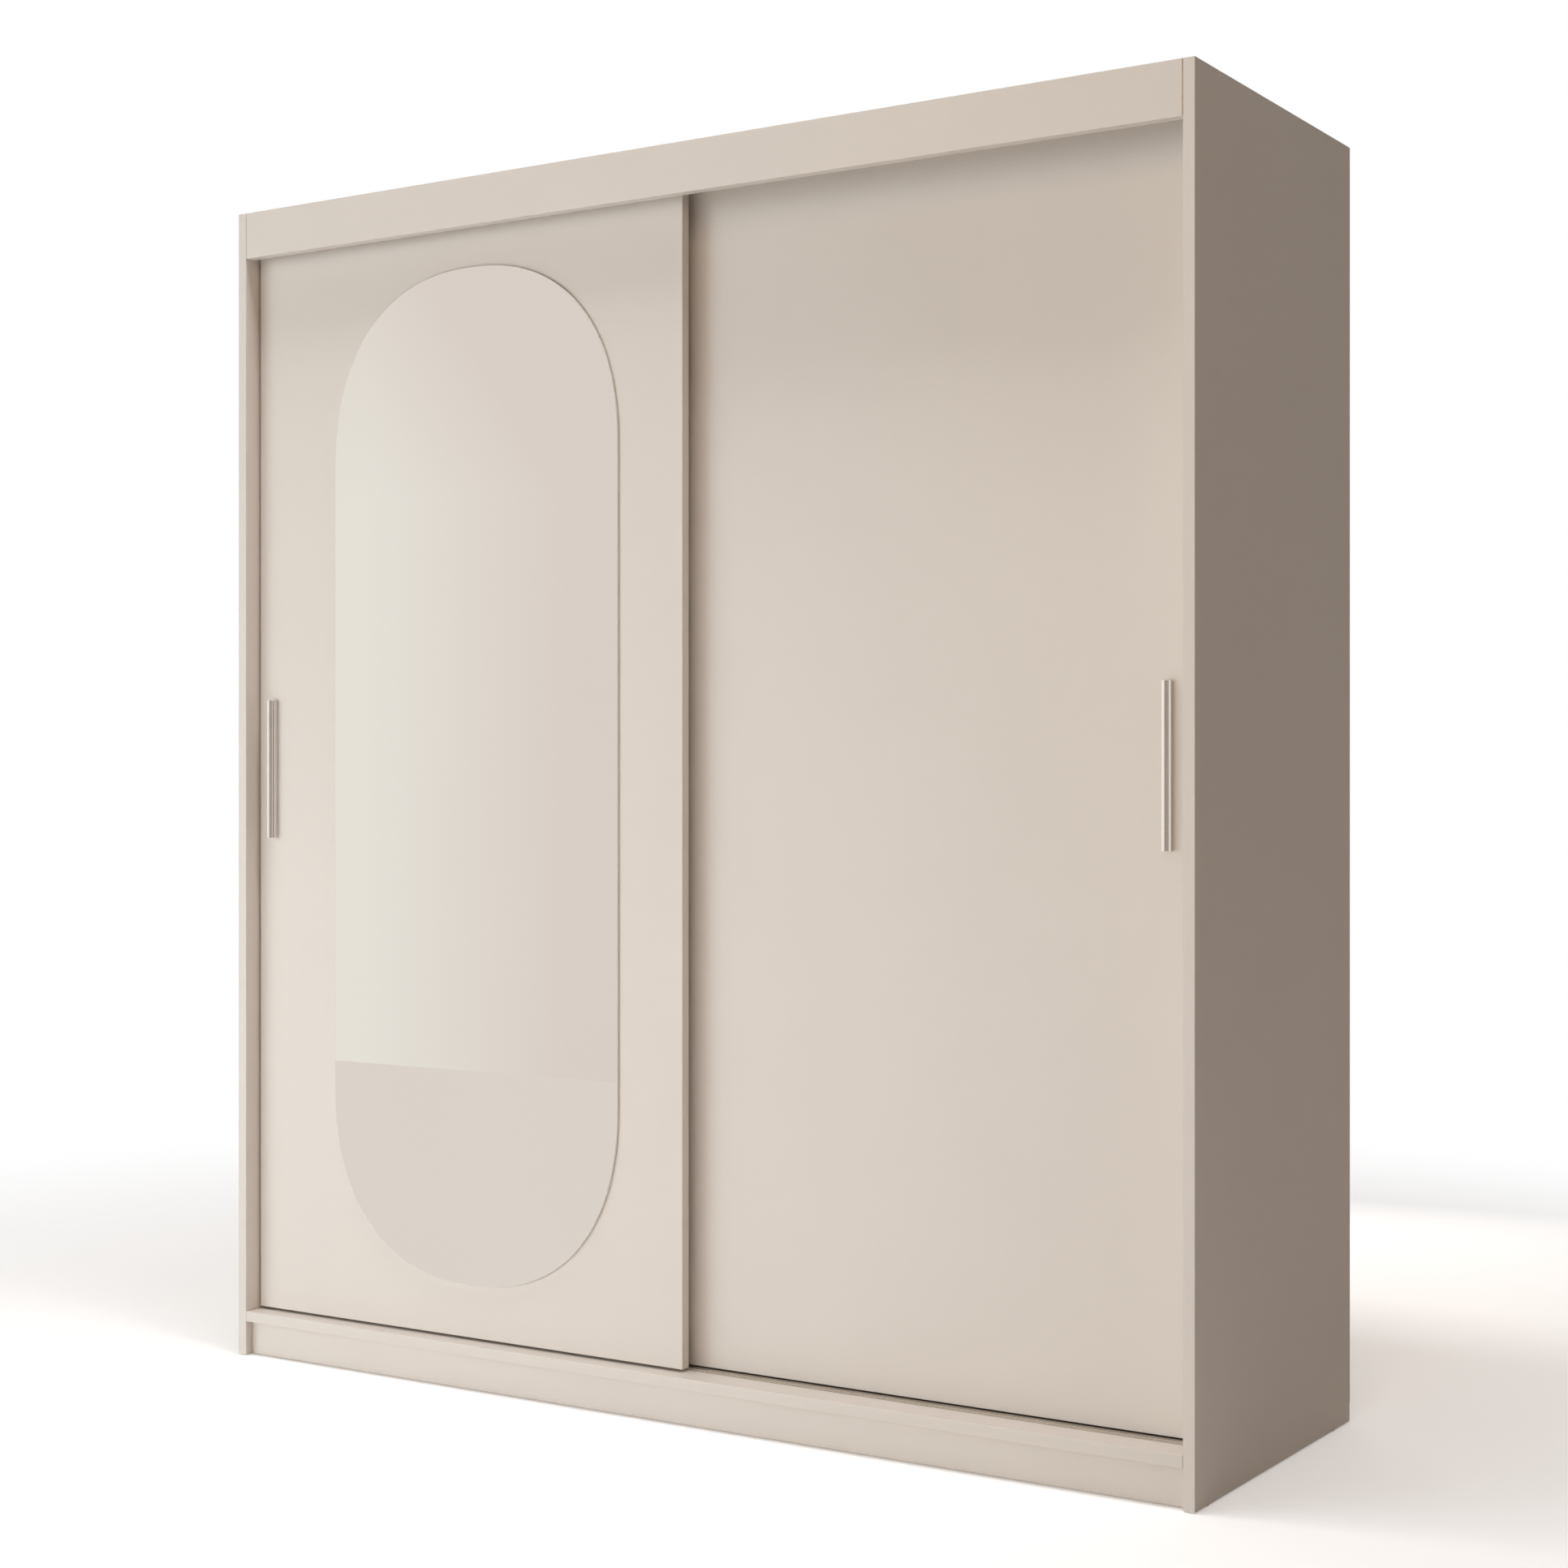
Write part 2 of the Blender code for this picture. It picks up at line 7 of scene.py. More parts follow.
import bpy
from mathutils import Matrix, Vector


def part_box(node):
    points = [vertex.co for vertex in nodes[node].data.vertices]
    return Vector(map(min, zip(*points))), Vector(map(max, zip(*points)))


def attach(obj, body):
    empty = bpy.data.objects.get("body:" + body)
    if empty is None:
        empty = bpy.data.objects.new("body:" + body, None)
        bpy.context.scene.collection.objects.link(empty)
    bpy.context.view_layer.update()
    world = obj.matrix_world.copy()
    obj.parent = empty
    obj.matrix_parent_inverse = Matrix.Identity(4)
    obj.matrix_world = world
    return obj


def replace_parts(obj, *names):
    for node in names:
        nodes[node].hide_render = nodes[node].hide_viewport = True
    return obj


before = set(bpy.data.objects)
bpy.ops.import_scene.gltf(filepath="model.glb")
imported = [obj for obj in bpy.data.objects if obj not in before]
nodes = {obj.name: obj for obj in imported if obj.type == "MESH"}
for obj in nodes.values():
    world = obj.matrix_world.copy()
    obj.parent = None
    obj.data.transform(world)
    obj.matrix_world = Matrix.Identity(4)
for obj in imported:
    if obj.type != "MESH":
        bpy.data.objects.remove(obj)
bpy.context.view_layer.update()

import math

import bmesh
import bpy
from mathutils import Matrix, Vector


# Melamine-faced chipboard in a cashmere colour, which all the boards are cut from.
# The film is pressed on hot, matt with a very fine pearl; visible edges get ABS edging
# glued on in the same colour, and hidden ones are left sawn.


def linear(code):
    """An sRGB hex colour as the linear values that a shader takes."""
    channels = [int(code[i : i + 2], 16) / 255 for i in (0, 2, 4)]
    curved = [((c + 0.055) / 1.055) ** 2.4 if c > 0.04045 else c / 12.92 for c in channels]
    return (*curved, 1)


def add(tree, kind, links=None, values=None, **settings):
    """Adds one node with its settings, its fixed input values and the links that reach it."""
    node = tree.nodes.new(kind)
    for name, value in settings.items():
        setattr(node, name, value)
    for socket, value in (values or {}).items():
        node.inputs[socket].default_value = value
    for socket, source in (links or {}).items():
        tree.links.new(source, node.inputs[socket])
    return node


def material(name, colour, roughness, **fixed):
    """A new material: its tree and shader, with what is the same all over set on the shader."""
    made = bpy.data.materials.new(name)
    made.use_nodes = True
    shader = made.node_tree.nodes["Principled BSDF"]
    shader.inputs["Base Color"].default_value = linear(colour)
    shader.inputs["Roughness"].default_value = roughness
    for socket, value in fixed.items():
        shader.inputs[socket.replace("_", " ")].default_value = value
    return made, made.node_tree, shader


def toned(tree, shader, factor, first, second):
    """Varies the base colour between two colours by a factor."""
    tone = add(
        tree,
        "ShaderNodeMix",
        {"Factor": factor},
        {"A": linear(first), "B": linear(second)},
        data_type="RGBA",
    )
    tree.links.new(tone.outputs["Result"], shader.inputs["Base Color"])


def polished(tree, shader, factor, least, most):
    """Varies the roughness between two values by a factor."""
    spread = add(
        tree, "ShaderNodeMapRange", {"Value": factor}, {"To Min": least, "To Max": most}
    )
    tree.links.new(spread.outputs["Result"], shader.inputs["Roughness"])


def embossed(tree, shader, height, depth_mm, strength=1.0):
    """Raises the surface by a height pattern that is depth_mm deep."""
    relief = add(
        tree,
        "ShaderNodeBump",
        {"Height": height},
        {"Strength": strength, "Distance": depth_mm / 1000},
    )
    tree.links.new(relief.outputs["Normal"], shader.inputs["Normal"])


def melamine_film(name, darker, lighter, seed):
    """Matt melamine film: the colour is even to a shade, and the pearl breaks up the sheen."""
    pearl_mm, cloud_mm = 1.1, 240  # the real pearl is about 0.3 mm, too fine to show
    made, tree, shader = material(name, lighter, 0.42, IOR=1.5)
    place = add(tree, "ShaderNodeTexCoord").outputs["Object"]
    moved = add(tree, "ShaderNodeMapping", {"Vector": place}, {"Location": (seed, 0, 0)})
    place = moved.outputs["Vector"]
    cloud = add(
        tree, "ShaderNodeTexNoise", {"Vector": place}, {"Scale": 1000 / cloud_mm, "Detail": 3}
    )
    toned(tree, shader, cloud.outputs["Fac"], darker, lighter)
    pearl = add(
        tree, "ShaderNodeTexNoise", {"Vector": place}, {"Scale": 1000 / pearl_mm, "Detail": 2}
    )
    polished(tree, shader, pearl.outputs["Fac"], 0.37, 0.49)
    embossed(tree, shader, pearl.outputs["Fac"], 0.03, 0.3)
    return made


def edge_banding():
    """ABS edging in the board's colour: smoother than the film, with faint drawing lines."""
    line_mm = 0.8
    made, tree, shader = material("abs_edging_cashmere", "d8d0c7", 0.32, IOR=1.54)
    place = add(tree, "ShaderNodeTexCoord").outputs["Object"]
    drawn = add(tree, "ShaderNodeMapping", {"Vector": place}, {"Scale": (1, 1, 0.02)})
    lines = add(
        tree,
        "ShaderNodeTexNoise",
        {"Vector": drawn.outputs["Vector"]},
        {"Scale": 1000 / line_mm, "Detail": 1},
    )
    toned(tree, shader, lines.outputs["Fac"], "d6cec5", "dad2c9")
    polished(tree, shader, lines.outputs["Fac"], 0.28, 0.36)
    embossed(tree, shader, lines.outputs["Fac"], 0.02, 0.25)
    return made


def raw_chipboard():
    """Sawn chipboard: pale chips of a few millimetres, rough, with small voids between."""
    chip_mm = 2.5
    made, tree, shader = material("raw_chipboard", "b08d64", 0.85)
    place = add(tree, "ShaderNodeTexCoord").outputs["Object"]
    chips = add(tree, "ShaderNodeTexVoronoi", {"Vector": place}, {"Scale": 1000 / chip_mm})
    shade = add(tree, "ShaderNodeSeparateColor", {"Color": chips.outputs["Color"]})
    toned(tree, shader, shade.outputs["Red"], "97744d", "cbab81")
    embossed(tree, shader, chips.outputs["Distance"], 0.3, 0.7)
    return made


carcass_film = melamine_film("melamine_film_carcass", "d6cec5", "dad2c9", 0)
door_film = melamine_film("melamine_film_doors", "d8d0c7", "dcd4cb", 7)
edging = edge_banding()
chipboard = raw_chipboard()

AXES = {"x": 0, "y": 1, "z": 2}


def dress_board(obj, thin, banded, film=carcass_film):
    """Film on the two broad faces, edging on the banded edges and raw chipboard on the others.

    thin is the axis across the board's thickness; banded lists edges such as "-y".
    """
    obj.data.materials.clear()
    for surface in (film, edging, chipboard):
        obj.data.materials.append(surface)
    for face in obj.data.polygons:
        broad = abs(face.normal[AXES[thin]]) > 0.95
        edged = any(
            face.normal[AXES[side[1]]] * (1 if side[0] == "+" else -1) > 0.25 for side in banded
        )
        face.material_index = 0 if broad else 1 if edged else 2


# Side panels and partition: upright boards with their front edges banded.
# Groups of three 5 mm holes for shelf pins are bored in two rows into their inner faces.

pin_row_front_in, pin_row_back_in = 0.037, 0.060
pin_row_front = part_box("shelf_1")[0].y + pin_row_front_in
pin_row_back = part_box("shelf_1")[1].y - pin_row_back_in
pin_pitch = 0.032
pin_radius = 0.0025
hole_depth = 0.008
left_shelves = [f"shelf_{level}" for level in range(1, 6)]


def tree_with(name, **inputs):
    """An empty Geometry Nodes tree with these named inputs, and its input node's sockets."""
    tree = bpy.data.node_groups.new(name, "GeometryNodeTree")
    kinds = {"Geometry": "Geometry", **inputs}
    for label, kind in kinds.items():
        label = label.replace("_", " ")
        tree.interface.new_socket(label, in_out="INPUT", socket_type="NodeSocket" + kind)
    tree.interface.new_socket("Geometry", in_out="OUTPUT", socket_type="NodeSocketGeometry")
    return tree, add(tree, "NodeGroupInput").outputs


def ended(tree, geometry, finish):
    """The end of every tree: real geometry with its material."""
    real = add(tree, "GeometryNodeRealizeInstances", {"Geometry": geometry})
    painted = add(
        tree, "GeometryNodeSetMaterial", {"Geometry": real.outputs["Geometry"], "Material": finish}
    )
    add(tree, "NodeGroupOutput", {"Geometry": painted.outputs["Geometry"]})
    return tree


def link_new(name, mesh):
    obj = bpy.data.objects.new(name, mesh)
    bpy.context.scene.collection.objects.link(obj)
    return obj


def settled(obj):
    """The object's mesh with its modifiers applied; the object itself is removed."""
    seen = obj.evaluated_get(bpy.context.evaluated_depsgraph_get())
    mesh = bpy.data.meshes.new_from_object(seen)
    bpy.data.objects.remove(obj)
    return mesh


def grown(name, tree, places, **values):
    """The plain mesh that a tree makes on points; places holds (point, facing) pairs."""
    mesh = bpy.data.meshes.new(name)
    mesh.from_pydata([tuple(point) for point, facing in places], [], [])
    facings = mesh.attributes.new("facing", "FLOAT_VECTOR", "POINT")
    for item, (point, facing) in zip(facings.data, places):
        item.vector = facing
    obj = link_new(name, mesh)
    modifier = obj.modifiers.new(name, "NODES")
    modifier.node_group = tree
    for socket in tree.interface.items_tree:
        key = socket.name.replace(" ", "_")
        if socket.in_out == "INPUT" and key in values:
            modifier[socket.identifier] = values[key]
    made = settled(obj)
    made.name = name
    return made


def piece(name, mesh, body, slot, *surfaces, smooth=None):
    """A finished piece at the origin that rides on its body; smooth is an angle in degrees."""
    for surface in surfaces:
        mesh.materials.append(surface)
    if smooth:
        mesh.shade_smooth()
        mesh.set_sharp_from_angle(angle=math.radians(smooth))
    obj = link_new(name, mesh)
    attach(obj, body)
    return obj


def bored_holes_tree():
    """Cutters for holes bored along X, one on each point."""
    tree, given = tree_with(
        "bored_holes", Hole_Radius="Float", Hole_Depth="Float", Finish="Material"
    )
    drill = add(
        tree,
        "GeometryNodeMeshCylinder",
        {"Radius": given["Hole Radius"], "Depth": given["Hole Depth"]},
        {"Vertices": 20},
    )
    drills = add(
        tree,
        "GeometryNodeInstanceOnPoints",
        {"Points": given["Geometry"], "Instance": drill.outputs["Mesh"]},
        {"Rotation": (0, math.pi / 2, 0)},
    )
    return ended(tree, drills.outputs["Instances"], given["Finish"])


def welded_copy(node):
    """The node's mesh with its loose triangles joined, on an object of its own."""
    mesh = nodes[node].data.copy()
    shape = bmesh.new()
    shape.from_mesh(mesh)
    bmesh.ops.remove_doubles(shape, verts=shape.verts, dist=1e-6)
    flat = math.radians(1)
    bmesh.ops.dissolve_limit(shape, angle_limit=flat, verts=shape.verts, edges=shape.edges)
    shape.to_mesh(mesh)
    shape.free()
    return link_new(node + "_copy", mesh)


def subtract(obj, cutter):
    """The mesh that is left when the cutter is taken out of the object."""
    cut = obj.modifiers.new("cut", "BOOLEAN")
    cut.operation = "DIFFERENCE"
    cut.solver = "EXACT"
    cut.material_mode = "TRANSFER"
    cut.object = cutter
    mesh = settled(obj)
    bpy.data.objects.remove(cutter)
    return mesh


def pin_places(shelf, x, facing, heights):
    """Points for the pins of a shelf on one upright, counted from the pin under the shelf."""
    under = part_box(shelf)[0].z - pin_radius
    rows = (pin_row_front, pin_row_back)
    return [(Vector((x, y, under + up)), facing) for y in rows for up in heights]


uprights = [
    ("side_left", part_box("side_left")[1].x, (1, 0, 0), left_shelves),
    ("partition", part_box("partition")[0].x, (-1, 0, 0), left_shelves),
    ("partition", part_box("partition")[1].x, (1, 0, 0), ["hat_shelf"]),
    ("side_right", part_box("side_right")[0].x, (-1, 0, 0), ["hat_shelf"]),
]
bored_holes = bored_holes_tree()
for node, banded in (("side_left", "-y +z"), ("partition", "-y"), ("side_right", "-y +z")):
    holes = [
        place
        for board, x, facing, shelves in uprights
        for shelf in shelves
        for place in pin_places(shelf, x, facing, (-pin_pitch, 0, pin_pitch))
        if board == node
    ]
    drills = grown(
        node + "_holes",
        bored_holes,
        holes,
        Hole_Radius=pin_radius,
        Hole_Depth=2 * hole_depth,
        Finish=chipboard,
    )
    board = welded_copy(node)
    dress_board(board, "x", banded.split())
    bored = subtract(board, link_new(node + "_drills", drills))
    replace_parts(piece(node + "_board", bored, "carcass", "carcass_laminate"), node)


# Level boards, fascia and plinth, joined to the uprights with dowels and cams.
# The fascia hides the track; the plinth stands back under the bottom panel.

for node, thin, banded in [
    ("top_panel", "z", ""),
    ("bottom_panel", "z", "-y"),
    ("fascia", "y", "+z -z"),
    ("plinth_front", "y", ""),
    ("plinth_back", "y", ""),
    ("plinth_support", "x", ""),
    *[(shelf, "z", "-y") for shelf in [*left_shelves, "hat_shelf"]],
]:
    dress_board(nodes[node], thin, banded.split())


# Cam fittings: 15 mm zinc castings let flush into the partition, top and bottom panels.
# Each has a cross slot that a screwdriver turns to pull the joint tight.


def zinc_plate():
    """Bright zinc plating on steel: a cool grey with cloudy patches where it passivated."""
    patch_mm = 6
    made, tree, shader = material("zinc_plated_steel", "b9bcc0", 0.34, Metallic=1)
    place = add(tree, "ShaderNodeTexCoord").outputs["Object"]
    patch = add(
        tree, "ShaderNodeTexNoise", {"Vector": place}, {"Scale": 1000 / patch_mm, "Detail": 4}
    )
    toned(tree, shader, patch.outputs["Fac"], "a9adb2", "c6c8ca")
    polished(tree, shader, patch.outputs["Fac"], 0.26, 0.42)
    embossed(tree, shader, patch.outputs["Fac"], 0.05, 0.2)
    return made


def loft(name, rings, tube=False):
    """A closed skin over rings of points; a tube's last ring meets its first."""
    count = len(rings[0])
    points = [tuple(point) for ring in rings for point in ring]
    faces = []
    for number in range(len(rings) if tube else len(rings) - 1):
        here, there = number * count, (number + 1) % len(rings) * count
        for i in range(count):
            j = (i + 1) % count
            faces.append((here + i, here + j, there + j, there + i))
    if not tube:
        faces += [tuple(range(count)), tuple(range(len(points) - count, len(points)))]
    mesh = bpy.data.meshes.new(name)
    mesh.from_pydata(points, [], faces)
    shape = bmesh.new()
    shape.from_mesh(mesh)
    bmesh.ops.remove_doubles(shape, verts=shape.verts, dist=1e-7)
    bmesh.ops.recalc_face_normals(shape, faces=shape.faces)
    shape.to_mesh(mesh)
    shape.free()
    return mesh


def lathe(name, profile, segments, tube=False):
    """A shape turned about the Z axis from (radius, height) points."""
    turns = [2 * math.pi * i / segments for i in range(segments)]
    rings = [
        [(radius * math.cos(turn), radius * math.sin(turn), height) for turn in turns]
        for radius, height in profile
    ]
    return loft(name, rings, tube)


def cross_recess(reach, half, top, depth):
    """A tapered plus-shaped cutter for a cross-slot screwdriver."""
    floor_size = 0.55
    corner = half / reach
    plus = [
        (x * math.cos(turn) - y * math.sin(turn), x * math.sin(turn) + y * math.cos(turn))
        for turn in (0, math.pi / 2, math.pi, 3 * math.pi / 2)
        for x, y in ((1, corner), (corner, corner), (corner, 1))
    ]
    rings = [
        [(x * reach * size, y * reach * size, height) for x, y in plus]
        for size, height in ((floor_size, top - depth), (1.0, top), (1.0, top + depth))
    ]
    return link_new("recess", loft("recess", rings))


def headed_fixing(name, profile, reach, half, depth):
    """A fixing whose head faces +Z on the plane z = 0, with a cross recess in it."""
    top = max(height for radius, height in profile)
    head = link_new(name, lathe(name, profile, 20))
    return link_new(name, subtract(head, cross_recess(reach, half, top, depth)))


def fixings_tree():
    """Sets a copy of one fixing on each point, facing out, each turned by chance."""
    tree, given = tree_with(
        "fixings_on_points", Fixing="Object", Most_Turn="Float", Seed="Int", Finish="Material"
    )
    one = add(tree, "GeometryNodeObjectInfo", {"Object": given["Fixing"]})
    facing = add(
        tree,
        "GeometryNodeInputNamedAttribute",
        values={"Name": "facing"},
        data_type="FLOAT_VECTOR",
    )
    chance = add(
        tree,
        "FunctionNodeRandomValue",
        {"Max": given["Most Turn"], "Seed": given["Seed"]},
        data_type="FLOAT",
    )
    turn = add(tree, "ShaderNodeCombineXYZ", {"Z": chance.outputs["Value"]})
    spun = add(tree, "FunctionNodeEulerToRotation", {"Euler": turn.outputs["Vector"]})
    out = add(
        tree, "FunctionNodeAlignRotationToVector", {"Vector": facing.outputs["Attribute"]}
    )
    aimed = add(
        tree,
        "FunctionNodeRotateRotation",
        {"Rotation": spun.outputs["Rotation"], "Rotate By": out.outputs["Rotation"]},
        rotation_space="GLOBAL",
    )
    copies = add(
        tree,
        "GeometryNodeInstanceOnPoints",
        {
            "Points": given["Geometry"],
            "Instance": one.outputs["Geometry"],
            "Rotation": aimed.outputs["Rotation"],
        },
    )
    return ended(tree, copies.outputs["Instances"], given["Finish"])


fixings = fixings_tree()
zinc = zinc_plate()
QUARTER_TURN = math.pi / 2


def set_fixings(name, fixing, places, body, seed=1, turn=QUARTER_TURN):
    """Sets the zinc-plated fixing at all the places as one piece on a body."""
    mesh = grown(name, fixings, places, Fixing=fixing, Most_Turn=turn, Seed=seed, Finish=zinc)
    piece(name, mesh, body, "zinc_steel", smooth=35)


cam = headed_fixing(
    "cam",
    [(0, -0.004), (0.0074, -0.004), (0.0074, 0.0001), (0.0071, 0.0003), (0, 0.0003)],
    0.0038,
    0.0008,
    0.0024,
)
cam_in = 0.034
cam_from_back = 0.060
low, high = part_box("partition")
cam_places = [
    (Vector((high.x, y, z)), (1, 0, 0))
    for y in (low.y + cam_from_back, high.y - cam_from_back)
    for z in (low.z + cam_in, high.z - cam_in)
]
for board, cam_from_front in (("top_panel", 0.150), ("bottom_panel", 0.080)):
    low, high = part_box(board)
    cam_places += [
        (Vector((x, y, low.z)), (0, 0, -1))
        for x in (low.x + cam_in, high.x - cam_in)
        for y in (low.y + cam_from_front, high.y - cam_from_back)
    ]
set_fixings("cam_fittings", cam, cam_places, "carcass", turn=2 * math.pi)
bpy.data.objects.remove(cam)


# Shelf pins: 5 mm nickel-plated steel pegs with a collar, four under each shelf.
# Each is pushed into a bored hole, and the shelf lies on the part that stands out.

peg = link_new(
    "peg",
    lathe(
        "peg",
        [
            (0, -0.006),
            (0.0024, -0.006),
            (0.0024, 0),
            (0.0033, 0.0001),
            (0.0033, 0.0009),
            (0.0024, 0.0010),
            (0.0024, 0.0074),
            (0.0021, 0.0080),
            (0, 0.0080),
        ],
        20,
    ),
)
peg_places = [
    place
    for board, x, facing, shelves in uprights
    for shelf in shelves
    for place in pin_places(shelf, x, facing, (0,))
]
set_fixings("shelf_pins", peg, peg_places, "carcass")
bpy.data.objects.remove(peg)


# Back: two sheets of 3 mm hardboard in the carcass colour, nailed to the boards' back edges.
# Their inner face is lacquered and their rear face is bare brown fibre.


def lacquered_hardboard():
    """Rolled lacquer over pressed fibre: matt, with the faint mottle of the fibre below."""
    mottle_mm = 3
    made, tree, shader = material("lacquered_hardboard", "dcd3c9", 0.5)
    place = add(tree, "ShaderNodeTexCoord").outputs["Object"]
    mottle = add(
        tree, "ShaderNodeTexNoise", {"Vector": place}, {"Scale": 1000 / mottle_mm, "Detail": 3}
    )
    toned(tree, shader, mottle.outputs["Fac"], "d8cec4", "ded5cb")
    polished(tree, shader, mottle.outputs["Fac"], 0.45, 0.58)
    embossed(tree, shader, mottle.outputs["Fac"], 0.05, 0.25)
    return made


def bare_hardboard():
    """Wet-pressed fibre: warm brown, with dark flecks and the soft print of the press."""
    fibre_mm, fleck_mm, cloud_mm = 2.2, 11, 420
    made, tree, shader = material("bare_hardboard", "8d6b4a", 0.78)
    place = add(tree, "ShaderNodeTexCoord").outputs["Object"]
    fibre = add(
        tree, "ShaderNodeTexNoise", {"Vector": place}, {"Scale": 1000 / fibre_mm, "Detail": 4}
    )
    cloud = add(
        tree, "ShaderNodeTexNoise", {"Vector": place}, {"Scale": 1000 / cloud_mm, "Detail": 4}
    )
    fleck = add(tree, "ShaderNodeTexVoronoi", {"Vector": place}, {"Scale": 1000 / fleck_mm})
    spots = add(
        tree,
        "ShaderNodeMapRange",
        {"Value": fleck.outputs["Distance"]},
        {"From Min": 0.05, "From Max": 0.16, "To Min": 0.35, "To Max": 0.0},
    )
    mixed = add(
        tree,
        "ShaderNodeMath",
        {0: fibre.outputs["Fac"], 1: cloud.outputs["Fac"]},
        operation="MULTIPLY",
    )
    mixed = add(
        tree,
        "ShaderNodeMath",
        {0: mixed.outputs["Value"], 1: spots.outputs["Result"]},
        operation="SUBTRACT",
    )
    spread = add(
        tree,
        "ShaderNodeMapRange",
        {"Value": mixed.outputs["Value"]},
        {"From Min": 0.0, "From Max": 0.42},
    )
    toned(tree, shader, spread.outputs["Result"], "93755a", "b09374")
    polished(tree, shader, fibre.outputs["Fac"], 0.7, 0.88)
    embossed(tree, shader, fibre.outputs["Fac"], 0.15, 0.5)
    return made


lacquered = lacquered_hardboard()
bare = bare_hardboard()
for node in ("back_sheet_left", "back_sheet_right"):
    sheet = nodes[node].data
    sheet.materials.clear()
    sheet.materials.append(lacquered)
    sheet.materials.append(bare)
    for face in sheet.polygons:
        face.material_index = 0 if face.normal.y < -0.5 else 1

nail = link_new(
    "nail",
    lathe(
        "nail",
        [(0, -0.002), (0.0006, -0.002), (0.0006, 0), (0.0024, 0), (0.0024, 0.0004), (0, 0.0006)],
        12,
    ),
)
nail_gap = 0.120
beside_joiner = 0.02  # no nail goes through the joiner strip, as a share of the width
half_board = 0.009
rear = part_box("back_sheet_left")[1].y
side_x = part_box("side_right")[1].x - half_board
top_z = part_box("top_panel")[1].z - half_board
bottom_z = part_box("bottom_panel")[0].z + half_board
rows = math.floor((top_z - bottom_z) / nail_gap)
columns = math.floor(2 * side_x / nail_gap)
nail_places = [
    (Vector((x, rear, bottom_z + (top_z - bottom_z) * row / rows)), (0, 1, 0))
    for x in (-side_x, side_x)
    for row in range(rows + 1)
]
nail_places += [
    (Vector((-side_x + 2 * side_x * column / columns, rear, z)), (0, 1, 0))
    for z in (bottom_z, top_z)
    for column in range(1, columns)
    if abs(column / columns - 0.5) > beside_joiner
]
set_fixings("back_nails", nail, nail_places, "carcass")
bpy.data.objects.remove(nail)


# Joiner strip, glides and door guides: small moulded plastic parts.
# The strip clips the two back sheets together; the glides keep the sides off the floor.


def moulded_plastic(name, darker, lighter, roughness):
    """Injection-moulded plastic with the fine spark-eroded grain of its tool."""
    grain_mm = 0.5
    made, tree, shader = material(name, lighter, roughness, IOR=1.46)
    place = add(tree, "ShaderNodeTexCoord").outputs["Object"]
    grain = add(
        tree, "ShaderNodeTexNoise", {"Vector": place}, {"Scale": 1000 / grain_mm, "Detail": 2}
    )
    toned(tree, shader, grain.outputs["Fac"], darker, lighter)
    polished(tree, shader, grain.outputs["Fac"], roughness - 0.08, roughness + 0.08)
    embossed(tree, shader, grain.outputs["Fac"], 0.03, 0.5)
    return made


def wears(surface, *names):
    """Gives CAD nodes one material."""
    for name in names:
        nodes[name].data.materials.clear()
        nodes[name].data.materials.append(surface)


ROWS = ("front", "rear")
ENDS = ("left", "right")
nylon = moulded_plastic("nylon", "dedcd5", "e8e6e0", 0.42)
grey_plastic = moulded_plastic("grey_polypropylene", "858482", "929190", 0.5)
wears(nylon, *[f"glide_{row}_{end}" for row in ("front", "back") for end in (*ENDS, "centre")])
wears(grey_plastic, "back_joiner")
wears(grey_plastic, *[f"guide_{row}_{end}" for row in ROWS for end in ENDS])


# Wall brackets: pressed steel angles screwed up into the top panel.
# Two more screws go through the back into the wall, so that the wardrobe can't tip.

pan_profile = [
    (0, -0.0004),
    (0.0034, -0.0004),
    (0.0036, 0.0004),
    (0.0035, 0.0011),
    (0.0029, 0.0018),
    (0.0018, 0.0022),
    (0, 0.0023),
]
pan_screw = headed_fixing("pan_screw", pan_profile, 0.0021, 0.00045, 0.0012)
bracket_wall = 0.002
hole_across, hole_from_front, hole_from_foot = 0.012, 0.012, 0.011
bracket_places = []
for end in ENDS:
    node = "wall_bracket_" + end
    low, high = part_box(node)
    middle = (low + high) / 2
    for x in (middle.x - hole_across, middle.x + hole_across):
        under = Vector((x, low.y + hole_from_front, high.z - bracket_wall))
        inside = Vector((x, high.y - bracket_wall, low.z + hole_from_foot))
        bracket_places += [(under, (0, 0, -1)), (inside, (0, -1, 0))]
wears(zinc, "wall_bracket_left", "wall_bracket_right")
set_fixings("wall_bracket_screws", pan_screw, bracket_places, "carcass", seed=2)


# Hanging rail: an oval tube of chromed steel, 30 x 15 mm, cut to length.
# It drops into a die-cast cup on each side, under the hat shelf.


def chrome_plate():
    """Bright chrome: nearly a mirror, with the faint long lines of the drawn tube below."""
    line_mm = 1.5
    made, tree, shader = material("chromed_steel", "d8dadd", 0.08, Metallic=1)
    place = add(tree, "ShaderNodeTexCoord").outputs["Object"]
    drawn = add(tree, "ShaderNodeMapping", {"Vector": place}, {"Scale": (0.02, 1, 1)})
    lines = add(
        tree,
        "ShaderNodeTexNoise",
        {"Vector": drawn.outputs["Vector"]},
        {"Scale": 1000 / line_mm, "Detail": 2},
    )
    toned(tree, shader, lines.outputs["Fac"], "d3d5d8", "dddfe1")
    polished(tree, shader, lines.outputs["Fac"], 0.05, 0.11)
    embossed(tree, shader, lines.outputs["Fac"], 0.004, 0.2)
    return made


